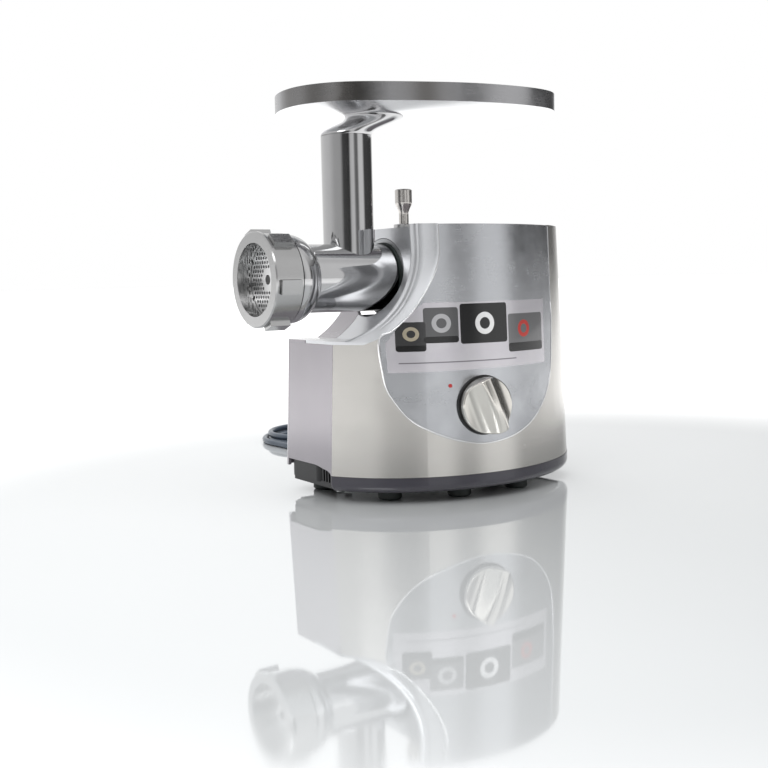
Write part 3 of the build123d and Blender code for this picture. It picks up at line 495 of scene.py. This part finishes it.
def addCamera():
    turn, pitch, roll = (radians(shot[key]) for key in ("turn", "pitch", "roll"))
    ahead = Vector((sin(turn), cos(turn), 0))
    side = Vector((cos(turn), -sin(turn), 0))
    forward = ahead * cos(pitch) - Vector((0, 0, sin(pitch)))
    upward = Vector((0, 0, cos(pitch))) + ahead * sin(pitch)
    right = side * cos(roll) - upward * sin(roll)
    top = upward * cos(roll) + side * sin(roll)
    camera = bpy.data.objects.new("camera", bpy.data.cameras.new("camera"))
    camera.data.lens = shot["lens"]
    camera.data.sensor_width = shot["sensor"]
    camera.data.clip_end = 200
    matrix = Matrix((right, top, -forward)).transposed().to_4x4()
    matrix.translation = at(*shot["eye"])
    camera.matrix_world = matrix
    bpy.context.collection.objects.link(camera)
    bpy.context.scene.camera = camera


def softBox(name, place, aim, size, power, mirrored):
    light = bpy.data.objects.new(name, bpy.data.lights.new(name, "AREA"))
    light.data.shape = "RECTANGLE"
    light.data.size, light.data.size_y = size
    light.data.energy = power
    light.location = Vector(place)
    light.visible_glossy = mirrored
    light.rotation_euler = (Vector(aim) - Vector(place)).to_track_quat("-Z", "Y").to_euler()
    bpy.context.collection.objects.link(light)


surroundings = {
    # compass direction in degrees from +X, and how bright the room is there
    "walls": [(-180, 0.60), (-150, 0.55), (-138, 0.10), (-112, 0.06), (-104, 0.80), (-92, 0.90),
              (-84, 0.25), (-74, 0.20), (-66, 0.95), (-48, 1.0), (-38, 0.10), (18, 0.06),
              (36, 0.75), (60, 1.0), (118, 0.95), (152, 0.85), (180, 0.60)],
    "ceiling": ((0.30, 0.0), (0.55, 0.55), (0.8, 0.9)),
    "lamps": {  # place in metres, size, power, and whether the metal mirrors it
        "keyLight": ((-1.3, -0.7, 1.5), (0.9, 0.9), 9, True),
        "sideLight": ((1.5, -1.1, 0.9), (0.5, 1.2), 3, False),
        "backLight": ((0.3, 1.6, 1.5), (1.6, 1.0), 8, False),
        "topLight": ((0.0, -0.1, 2.0), (1.4, 1.4), 7, False),
    },
    "floorSize": 40.0,
    "floorMiddle": (0.03, -0.12),
    "floorReach": (0.42, 0.85),  # where the polished floor starts to fade to white, and where it is white
}


def addStudio():
    world = bpy.data.worlds.new("studio")
    bpy.context.scene.world = world
    world.use_nodes = True
    studio = Shading(world.node_tree)
    background = studio.tree.nodes["Background"]
    direction = studio.node("TexCoord", output=0)
    split = studio.node("SeparateXYZ", inputs={0: direction}).socket.node
    across, along, height = [Wire(studio, socket) for socket in split.outputs]
    around = along.maths("ARCTAN2", along, across) / (2 * pi) + 0.5
    walls = studio.levels(around, *[((turn + 180) / 360, level) for turn, level in surroundings["walls"]])
    ceiling = studio.levels(height, *surroundings["ceiling"])
    below = studio.levels(height * -1, (0.0, 0.0), (0.06, 1.0))
    room = studio.between(ceiling, walls, (1.0, 1.0, 1.0))
    room = studio.between(below, room, (0.45, 0.45, 0.46))
    seen = studio.node("LightPath", output=0)
    studio.tree.links.new(studio.between(seen, room, (1.0, 1.0, 1.0)).socket, background.inputs["Color"])
    background.inputs["Strength"].default_value = 1.0
    middle = at(20, 0, 160)
    for name, (place, size, power, mirrored) in surroundings["lamps"].items():
        softBox(name, place, middle, size, power, mirrored)
    addFloor()


def addFloor():
    size = surroundings["floorSize"]
    corners = [(-size, -size, 0), (size, -size, 0), (size, size, 0), (-size, size, 0)]
    floor = temporary("floor", meshFrom("floor", corners, [(0, 1, 2, 3)]))
    floor.location.z = -0.0004  # just under the feet
    pale = Finish("floorPale", specular=0.5)
    x, y, _ = pale.axes()
    middleX, middleY = surroundings["floorMiddle"]
    reach = ((x - middleX) ** 2.0 + (y - middleY) ** 2.0) ** 0.5
    near, far = surroundings["floorReach"]
    fade = pale.node("MapRange", {"interpolation_type": "SMOOTHSTEP"},
                     {0: reach, 1: near, 2: far, 3: 0.0, 4: 1.0})
    pale.set("colour", pale.between(fade, (0.80, 0.82, 0.83), (0.95, 0.95, 0.95)))
    pale.set("roughness", fade * 0.6 + 0.035)
    pale.set("metallic", (1 - fade) * 0.36)
    pale.plug(pale.between(fade, (0.0, 0.0, 0.0), (1.0, 1.0, 1.0)), pale.shader.inputs["Emission Color"])
    pale.plug(0.55, pale.shader.inputs["Emission Strength"])
    floor.data.materials.append(pale.material)


addCamera()
addStudio()
bpy.context.scene.view_settings.view_transform = "Standard"
print("camera and studio ready")


# the housing's front face, which the bezel, the bead and the knob are laid on; sizes in millimetres
housing = {"draft": radians(2.4), "base": 21.5, "top": 222.9, "step": 130.5, "split": 12.0,
           "bow": (43.0, 55.0, 160.0), "side": (26.2, 20.47, 121.6),  # plan arcs: centre X, centre Y, radius
           "sweepRadius": 83.7, "sweepStart": 203.0, "edge": -17.0}


def frontAt(x, z):
    # how far forward the housing's face is, in millimetres along Y
    x0, y0, radius = housing["bow"] if x > -27 else housing["side"]
    reach = radius - (z - housing["base"]) * tan(housing["draft"])
    return y0 - sqrt(max(reach * reach - (x - x0) ** 2, 1.0))


def sweepAt(shift, z):
    # the concave edge's X at a height, for a line that lies beside it
    start, radius = housing["sweepStart"], housing["sweepRadius"]
    drop = max(0.0, start - z)
    return housing["edge"] + shift - radius + sqrt(radius * radius - drop * drop)


bezel = {"lip": -14.0, "inner": 11.0, "round": 2.2, "flare": 34.0, "proud": 0.85, "seam": 0.3,
         "lap": 5.6, "lapFoot": 158.0, "lapRise": 45.0, "wall": 2.6, "thin": 0.18, "grow": 0.35,
         "backGap": 0.4, "ledgeLeft": -78.2, "ledgeOver": 1.5, "ledgeInset": 0.2, "ledgeThick": 2.5,
         "capTop": 222.6, "capEdge": -3.1, "capInset": 0.9, "capThick": 1.5,
         "pocket": 33.5, "pocketLength": 220.0, "pocketMiddle": -30.0, "rows": 56, "backs": 7}


def bezelReach(z):
    # how far the band laps over the control panel, more towards the top
    part = min(max((z - bezel["lapFoot"]) / bezel["lapRise"], 0.0), 1.0)
    return bezel["lap"] * eased(part) - bezel["seam"]


def bezelProfile(z):
    # shift from the concave edge, and depth behind the face, from the panel's edge to the back
    start, end = bezelReach(z), bezel["lip"] + bezel["round"]
    profile = [(start + 0.25 - 0.25 * step, 0.7 - 0.7 * step ** 0.5) for step in (0, 0.35, 1)]
    profile += [(start + (end - start) * step / 8, 0.0) for step in range(1, 9)]
    for step in range(1, 7):
        turn = pi / 2 * step / 6
        profile.append((bezel["lip"] + bezel["round"] * (1 - sin(turn)), bezel["round"] * (1 - cos(turn))))
    for step in range(1, 17):
        part = step / 16
        profile.append((bezel["lip"] + (bezel["inner"] - bezel["lip"]) * (0.35 * part + 0.65 * eased(part)),
                        bezel["round"] + bezel["flare"] * part))
    return profile


def bezelLine(z):
    # the band's first skin at a height: its profile, then straight back to the rear cover
    line = []
    for shift, depth in bezelProfile(z):
        x = sweepAt(shift, z)
        line.append((x, frontAt(x, z) - bezel["proud"] + depth, z))
    x, y, _ = line[-1]
    back = housing["split"] - bezel["backGap"] - y
    return line + [(x, y + back * step / bezel["backs"], z) for step in range(1, bezel["backs"] + 1)]


def skinGap(place):
    # how far apart the two skins are: thin at the panel's edge, growing to the full wall
    if place < 3:
        return bezel["thin"]
    if place < 11:
        return min(bezel["wall"], bezel["thin"] + bezel["grow"] * (place - 2))
    return bezel["wall"]


def secondSkin(line):
    # stands in front of the band's flat face, and behind its edge, its flare and its back
    skin = []
    for place, (x, y, z) in enumerate(line):
        before, after = line[max(place - 1, 0)], line[min(place + 1, len(line) - 1)]
        along = Vector((after[0] - before[0], after[1] - before[1], 0)).normalized()
        gap = skinGap(place)
        skin.append((x, y + gap, z) if place < 3 else (x + along.y * gap, y + along.x * gap, z))
    return skin


def makeBezelBand():
    foot = housing["step"] - 0.2
    heights = [foot + (housing["top"] - foot) * row / (bezel["rows"] - 1) for row in range(bezel["rows"])]
    outer = [bezelLine(z) for z in heights]
    inner = [secondSkin(line) for line in outer]
    rows, columns = len(outer), len(outer[0])
    count = rows * columns
    faces = gridFaces(rows, columns)
    faces += [tuple(count + corner for corner in reversed(face)) for face in gridFaces(rows, columns)]
    rim = [(0, column) for column in range(columns)] + [(row, columns - 1) for row in range(1, rows)]
    rim += [(rows - 1, column) for column in range(columns - 2, -1, -1)]
    rim += [(row, 0) for row in range(rows - 2, 0, -1)]
    for here, there in zip(rim, rim[1:] + rim[:1]):
        a, b = here[0] * columns + here[1], there[0] * columns + there[1]
        faces.append((b, a, count + a, count + b))
    return meshFrom("bezelBand", [at(*point) for line in outer + inner for point in line], faces)


def prism(name, outline, low, high):
    # an upright solid over an outline of X and Y
    count = len(outline)
    points = [at(x, y, z) for z in (low, high) for x, y in outline]
    faces = [tuple(range(count - 1, -1, -1)), tuple(range(count, 2 * count))]
    faces += [(step, (step + 1) % count, count + (step + 1) % count, count + step) for step in range(count)]
    return meshFrom(name, points, faces)


def makeBezelStep():
    # the ledge under the band
    z, back = housing["step"], housing["split"] - bezel["backGap"]
    left, right = bezel["ledgeLeft"], sweepAt(bezel["inner"], z) + bezel["ledgeOver"]
    outline = []
    for step in range(25):
        x = left + (right - left) * step / 24
        outline.append((x, frontAt(x, z) + bezel["ledgeInset"]))
    return prism("bezelStep", outline + [(right, back), (left, back)], z - bezel["ledgeThick"], z)


def makeBezelCap():
    # the casting's level top, between the flare and the top cover
    high = housing["top"]
    edge = []
    for shift, depth in bezelProfile(high)[11:]:
        x = sweepAt(shift, high)
        edge.append((x + bezel["capInset"], frontAt(x, high) - bezel["proud"] + depth + 0.4))
    left, right, back = edge[0][0], bezel["capEdge"], housing["split"] - bezel["backGap"]
    edge += [(edge[-1][0], back), (right, back)]
    for step in range(9):
        x = right + (left - right) * step / 8
        edge.append((x, frontAt(x, high) + 2.6))
    return prism("bezelCap", edge, bezel["capTop"] - bezel["capThick"], bezel["capTop"])


def cutBarrel(mesh, name):
    # takes the barrel's clearance out of a closed mesh
    faceOut(mesh)
    cutter = bpy.data.meshes.new("pocket")
    radius = bezel["pocket"] / 1000
    place = Matrix.Translation(at(bezel["pocketMiddle"], 0, axisZ * 1000)) @ Matrix.Rotation(pi / 2, 4, "Y")
    bm = bmesh.new()
    bmesh.ops.create_cone(bm, cap_ends=True, segments=128, radius1=radius, radius2=radius,
                          depth=bezel["pocketLength"] / 1000, matrix=place)
    bm.to_mesh(cutter)
    bm.free()
    tool = temporary("pocket", cutter)
    piece = temporary(name, mesh)
    modifier = piece.modifiers.new("pocket", "BOOLEAN")
    modifier.operation = "DIFFERENCE"
    modifier.object = tool
    modifier.solver = "EXACT"
    result = evaluated(piece, name)
    bpy.data.objects.remove(tool)
    return result


bandMesh = cutBarrel(makeBezelBand(), "outletBezelBand")
bezelBand = finishMesh("outletBezelBand", bandMesh, "power_unit", "cast_silver")
bezelStep = finishMesh("outletBezelStep", makeBezelStep(), "power_unit", "cast_silver")
bezelCap = finishMesh("outletBezelCap", makeBezelCap(), "power_unit", "cast_silver")
for piece in (bezelBand, bezelStep, bezelCap):
    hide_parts("outlet_bezel")
print("bezel made")

bead = {"radius": 0.55, "sunk": 0.5, "beside": 0.2, "around": 12, "steps": 14, "side": 109.5,
        "top": 222.0, "low": [(-54.9, 133), (-54.4, 110), (-49.5, 86), (-29, 61), (19, 46), (69, 57),
                              (101, 90), (109.5, 138)]}  # X and height, round the panel's lower edge


def smoothThrough(points, steps):
    # a curve through all of the points, as closer ones
    result = []
    for place in range(len(points) - 1):
        a, b, c, d = (Vector(points[min(max(place + step, 0), len(points) - 1)]) for step in (-1, 0, 1, 2))
        for step in range(steps):
            part = step / steps
            result.append(0.5 * (2 * b + (c - a) * part + (2 * a - 5 * b + 4 * c - d) * part ** 2
                                 + (3 * b - a - 3 * c + d) * part ** 3))
    return result + [Vector(points[-1])]


# a thin bright bead, sunk almost flush along the control panel's edge, as a painted highlight line
def makeBead():
    sweep = [(sweepAt(bezelReach(z) + bead["beside"], z), z) for z in range(222, 134, -6)]
    rising = [(bead["side"], z) for z in (160, 180, 200, bead["top"])]
    line = smoothThrough(sweep + bead["low"] + rising, bead["steps"])
    around, radius = bead["around"], bead["radius"]
    points = []
    for place, spot in enumerate(line):
        along = (line[min(place + 1, len(line) - 1)] - line[max(place - 1, 0)]).normalized()
        for step in range(around):
            angle = 2 * pi * step / around
            x, z = spot.x + along.y * cos(angle) * radius, spot.y - along.x * cos(angle) * radius
            points.append(at(x, frontAt(x, z) - bead["sunk"] + sin(angle) * radius, z))
    count = len(line) * around
    faces = gridFaces(len(line), around, closed=True)
    faces += [tuple(range(around)), tuple(range(count - around, count))]
    return meshFrom("panelEdgeHighlight", points, faces)


panelEdgeHighlight = finishMesh("panelEdgeHighlight", makeBead(), "power_unit", "panel_aluminium")
# painted highlight: the bead is a bright polished metal, much lighter than the panel around it
panelEdgeHighlight.data.materials[0] = polished("beadPaintedHighlight", (0.86, 0.86, 0.87), 0.10)
print("bead made")

knob = {"x": 20.8, "z": 77.0, "radius": 22.9, "foot": 1.3, "edge": 6.5, "top": 20.8, "grip": 8.4,
        "tilt": 20.0, "spindle": 4.0, "spindleEnd": -18.4}


def knobFrame():
    # columns: right, up and outward on the panel's face, and the knob's centre on it
    x, z, step = knob["x"], knob["z"], 0.5
    bow0, bow1, radius = housing["bow"]
    reach = radius - (z - housing["base"]) * tan(housing["draft"]) + 0.5
    y = bow1 - sqrt(reach * reach - (x - bow0) ** 2)
    outward = Vector(((x - bow0) / reach, (y - bow1) / reach, tan(housing["draft"]))).normalized()
    right = Vector((-outward.y, outward.x, 0)).normalized()
    matrix = Matrix((right, outward.cross(right), outward)).transposed().to_4x4()
    matrix.translation = at(x, y, z)
    return matrix


def lathe(profile, segments, matrix, name):
    # a closed turned solid whose profile starts and ends on its own axis
    points, faces = [], []
    for radius, height in profile[1:-1]:
        points += [matrix @ Vector((radius * cos(2 * pi * turn / segments) / 1000,
                                    radius * sin(2 * pi * turn / segments) / 1000, height / 1000))
                   for turn in range(segments)]
    faces += gridFaces(len(profile) - 2, segments, closed=True)
    for height, first in ((profile[0][1], 0), (profile[-1][1], (len(profile) - 3) * segments)):
        points.append(matrix @ Vector((0, 0, height / 1000)))
        faces += [(len(points) - 1, first + turn, first + (turn + 1) % segments) for turn in range(segments)]
    return meshFrom(name, points, faces)


def joined(name, *meshes):
    bm = bmesh.new()
    for mesh in meshes:
        bm.from_mesh(mesh)
    result = bpy.data.meshes.new(name)
    bm.to_mesh(result)
    bm.free()
    return result


def makeKnob():
    # a disc cut by a saddle, which leaves a rounded ridge for the fingers across it
    place = knobFrame()
    spindle = lathe([(0, knob["spindleEnd"]), (knob["spindle"], knob["spindleEnd"]), (knob["spindle"], 3.0),
                     (0, 3.0)], 40, place, "knobSpindle")
    around, rings, radius = 180, 46, knob["radius"]
    points = []
    for ring in range(1, rings + 5):
        # the last rings go round the rim's edge and down its side
        part = min(ring / rings, 1.0)
        out = radius * (1 - (1 - part) ** 1.25)
        for step in range(around):
            angle = 2 * pi * step / around
            across, along = out * cos(angle), out * sin(angle)
            top = knob["top"] - 2.4 * (along / radius) ** 2
            height = knob["edge"] + (top - knob["edge"]) / (1 + (abs(across) / knob["grip"]) ** 4)
            edge = max(0.0, out - radius + 1.2) / 1.2
            height -= 1.2 * (1 - sqrt(max(0.0, 1 - edge * edge)))
            if ring > rings:
                height = knob["foot"] + (height - knob["foot"]) * (1 - (ring - rings) / 4)
            turned = Matrix.Rotation(radians(knob["tilt"]), 4, "Z") @ Vector((across, along, height))
            points.append(place @ (turned / 1000))
    faces = gridFaces(rings + 4, around, closed=True)
    points.append(place @ Vector((0, 0, knob["top"] / 1000)))
    faces += [(len(points) - 1, step, (step + 1) % around) for step in range(around)]
    faces.append(tuple(range((rings + 3) * around, (rings + 4) * around)))
    return joined("selectorKnob", meshFrom("knobBody", points, faces), spindle)


knobPiece = finishMesh("selectorKnobTurned", makeKnob(), "selector", "knob_satin", sharpAngle=50)
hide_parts("selector_knob")
print("knob made")

neck = {"low": 299.35, "high": 316.9, "tube": -40.4, "drain": -12.0, "foot": 21.2, "head": 24.9, "wall": 3.3,
        "spigot": 19.0, "spigotWall": 1.2, "spigotLow": 288.6}


def neckLine(part, height):
    # how far the neck has leant towards the tray's drain, as a soft S
    centre = neck["tube"] + (neck["drain"] - neck["tube"]) * eased(part)
    radius = neck["foot"] + (neck["head"] - neck["foot"]) * part
    return centre, radius, height


def makeNeck():
    around, rows = 120, 20
    tall = neck["high"] - neck["low"]
    rings = [neckLine(row / rows, neck["low"] + tall * row / rows) for row in range(rows + 1)]
    rings += [(centre, radius - neck["wall"], height) for centre, radius, height in reversed(rings[1:])]
    tube, spigot, bore = neck["tube"], neck["spigot"], neck["spigot"] - neck["spigotWall"]
    rings += [(tube, bore, neck["low"] + 0.6), (tube, bore, neck["spigotLow"]),
              (tube, spigot, neck["spigotLow"]), (tube, spigot, neck["low"])]
    points = [at(centre + radius * cos(2 * pi * step / around), radius * sin(2 * pi * step / around), height)
              for centre, radius, height in rings for step in range(around)]
    faces = gridFaces(len(rings), around, closed=True)
    last = (len(rings) - 1) * around
    faces += [(last + step, last + (step + 1) % around, (step + 1) % around, step) for step in range(around)]
    return meshFrom("trayNeck", points, faces)


neckPiece = finishMesh("trayNeckCurved", makeNeck(), "tray", "polished_metal")
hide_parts("tray_neck")
print("neck made")

screen = {"pitch": 0.00405, "hole": 0.00135, "innerReach": 0.0083, "outerReach": 0.0282, "bore": 0.0041,
          "radius": 0.0322, "columns": 19, "bevel": 0.4}  # metres, and the bevel in millimetres


def screenTree(thick):
    # bores a hexagonal field of round holes, and a middle one, through a disc
    tree = Tree("screenHoles", Pitch=screen["pitch"], Hole=screen["hole"], Inner=screen["innerReach"],
                Outer=screen["outerReach"], Depth=thick * 2, Bore=screen["bore"], Columns=screen["columns"])
    count = tree.sizes["Columns"]
    grid = tree.node("GeometryNodeMeshGrid", inputs={"Size X": 1.0, "Size Y": 1.0, "Vertices X": count,
                                                     "Vertices Y": count})
    index = tree.node("GeometryNodeInputIndex")
    half = tree.maths("FLOOR", tree.maths("DIVIDE", count, 2.0))
    column = tree.maths("SUBTRACT", tree.maths("FLOOR", tree.maths("DIVIDE", index, count)), half)
    row = tree.maths("SUBTRACT", tree.maths("MODULO", index, count), half)
    odd = tree.maths("MULTIPLY", tree.maths("MODULO", tree.maths("ABSOLUTE", row), 2.0), 0.5)
    x = tree.maths("MULTIPLY", tree.maths("ADD", column, odd), tree.sizes["Pitch"])
    y = tree.maths("MULTIPLY", row, tree.maths("MULTIPLY", tree.sizes["Pitch"], 0.866))
    spot = tree.node("ShaderNodeCombineXYZ", inputs={0: x, 1: y})
    reach = tree.node("ShaderNodeVectorMath", {"operation": "LENGTH"}, {0: spot}, output=1)
    near = tree.maths("LESS_THAN", reach, tree.sizes["Inner"])
    far = tree.maths("GREATER_THAN", reach, tree.sizes["Outer"])
    moved = tree.node("GeometryNodeSetPosition", inputs={"Geometry": grid, "Position": spot})
    kept = tree.node("GeometryNodeDeleteGeometry", {"domain": "POINT"},
                     {"Geometry": moved, "Selection": tree.maths("MAXIMUM", near, far)})
    drill = tree.node("GeometryNodeMeshCylinder", inputs={"Vertices": 20, "Radius": tree.sizes["Hole"],
                                                          "Depth": tree.sizes["Depth"]})
    drills = tree.node("GeometryNodeInstanceOnPoints", inputs={"Points": kept, "Instance": drill})
    holes = tree.node("GeometryNodeRealizeInstances", inputs={0: drills})
    middle = tree.node("GeometryNodeMeshCylinder", inputs={"Vertices": 40, "Radius": tree.sizes["Bore"],
                                                           "Depth": tree.sizes["Depth"]})
    cutter = tree.node("GeometryNodeJoinGeometry")
    for geometry in (holes, middle):
        tree.tree.links.new(geometry, cutter.node.inputs[0])
    bored = tree.node("GeometryNodeMeshBoolean", {"operation": "DIFFERENCE", "solver": "EXACT"},
                      {0: tree.entry.outputs["Geometry"], 1: cutter})
    tree.finish(bored, finishes["knife_steel"])
    return tree


def makeScreen():
    low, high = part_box("perforated_screen")
    thick = high[0] - low[0]
    half, radius, bevel = thick * 500, screen["radius"] * 1000, screen["bevel"]
    disc = lathe([(0, -half), (radius - bevel, -half), (radius, bevel - half), (radius, half - bevel),
                  (radius - bevel, half), (0, half)], 128, Matrix(), "screenDisc")
    faceOut(disc)
    mesh = screenTree(thick).run("screenPlate", disc)
    # from lying on the origin to standing across the head's axis
    middle = (low[0] + high[0]) / 2
    mesh.transform(Matrix(((0, 0, 1, middle), (1, 0, 0, axisY), (0, 1, 0, axisZ), (0, 0, 0, 1))))
    return mesh


screenPiece = finishMesh("perforatedScreenPlate", makeScreen(), "screen", "knife_steel")
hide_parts("perforated_screen")
print("screen made:", len(screenPiece.data.polygons), "faces")

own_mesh(nodes["lock_pin_spring"])
print("spring ready")

cord = {"radius": 3.05, "coil": (90.0, 272.0), "outer": 66.9, "inner": 50.4, "steps": 24,
        "lead": [(78, 85, 36), (78, 97.5, 36), (74.5, 122, 27), (67, 145, 13), (56, 166, 4.2), (43, 188, 3.1),
                 (32, 211, 3.1), (25.5, 235, 3.1)],
        "tail": [(158.5, 235, 9.6), (158, 216, 11.5), (158, 212, 11.5)],
        "startAngle": 193.5, "endAngle": -12.0, "turns": 3, "low": 3.1, "rise": 6.2,
        "inward": 0.66, "rising": 0.72,  # where on its way the coil stops winding in, and starts out again
        "smoothing": 0.008}  # metres by which the smooth curve is shorter than the line through its points


def cordRoute():
    total = cord["startAngle"] - cord["endAngle"] + 360 * cord["turns"]
    count = int(total / 360 * cord["steps"])
    points = list(cord["lead"])
    coilX, coilY = cord["coil"]
    inward, rising = cord["inward"], cord["rising"]
    for step in range(count + 1):
        part = step / count
        angle = radians(cord["startAngle"] - total * part)
        if part < inward:
            radius = cord["outer"] + (cord["inner"] - cord["outer"]) * part / inward
            height = cord["low"]
        elif part < rising:
            radius = cord["inner"]
            height = cord["low"] + cord["rise"] * (part - inward) / (rising - inward)
        else:
            radius = cord["inner"] + (cord["outer"] - cord["inner"]) * (part - rising) / (1 - rising)
            height = cord["low"] + cord["rise"]
        points.append((coilX + radius * cos(angle), coilY + radius * sin(angle), height))
    return [at(*point) for point in points + cord["tail"]]


def makeCord():
    curve = bpy.data.curves.new("mainsCord", "CURVE")
    curve.dimensions = "3D"
    curve.bevel_depth = cord["radius"] / 1000
    curve.bevel_resolution = 6
    curve.resolution_u = 6
    curve.use_fill_caps = True
    spline = curve.splines.new("NURBS")
    route = cordRoute()
    spline.points.add(len(route) - 1)
    for point, place in zip(spline.points, route):
        point.co = (*place, 1)
    spline.order_u = 3
    spline.use_endpoint_u = True
    curve.materials.append(finishes["cord_rubber"])
    piece = bpy.data.objects.new("mainsCord", curve)
    bpy.context.collection.objects.link(piece)
    length = sum((there - here).length for here, there in zip(route, route[1:]))
    return piece, route[0], length


cordPiece, cordStart, cordLength = makeCord()
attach(cordPiece, "power_unit")
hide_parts("power_cord", "cord_tail", "cord_coil")
print("cord made:", round(cordLength, 3), "m")
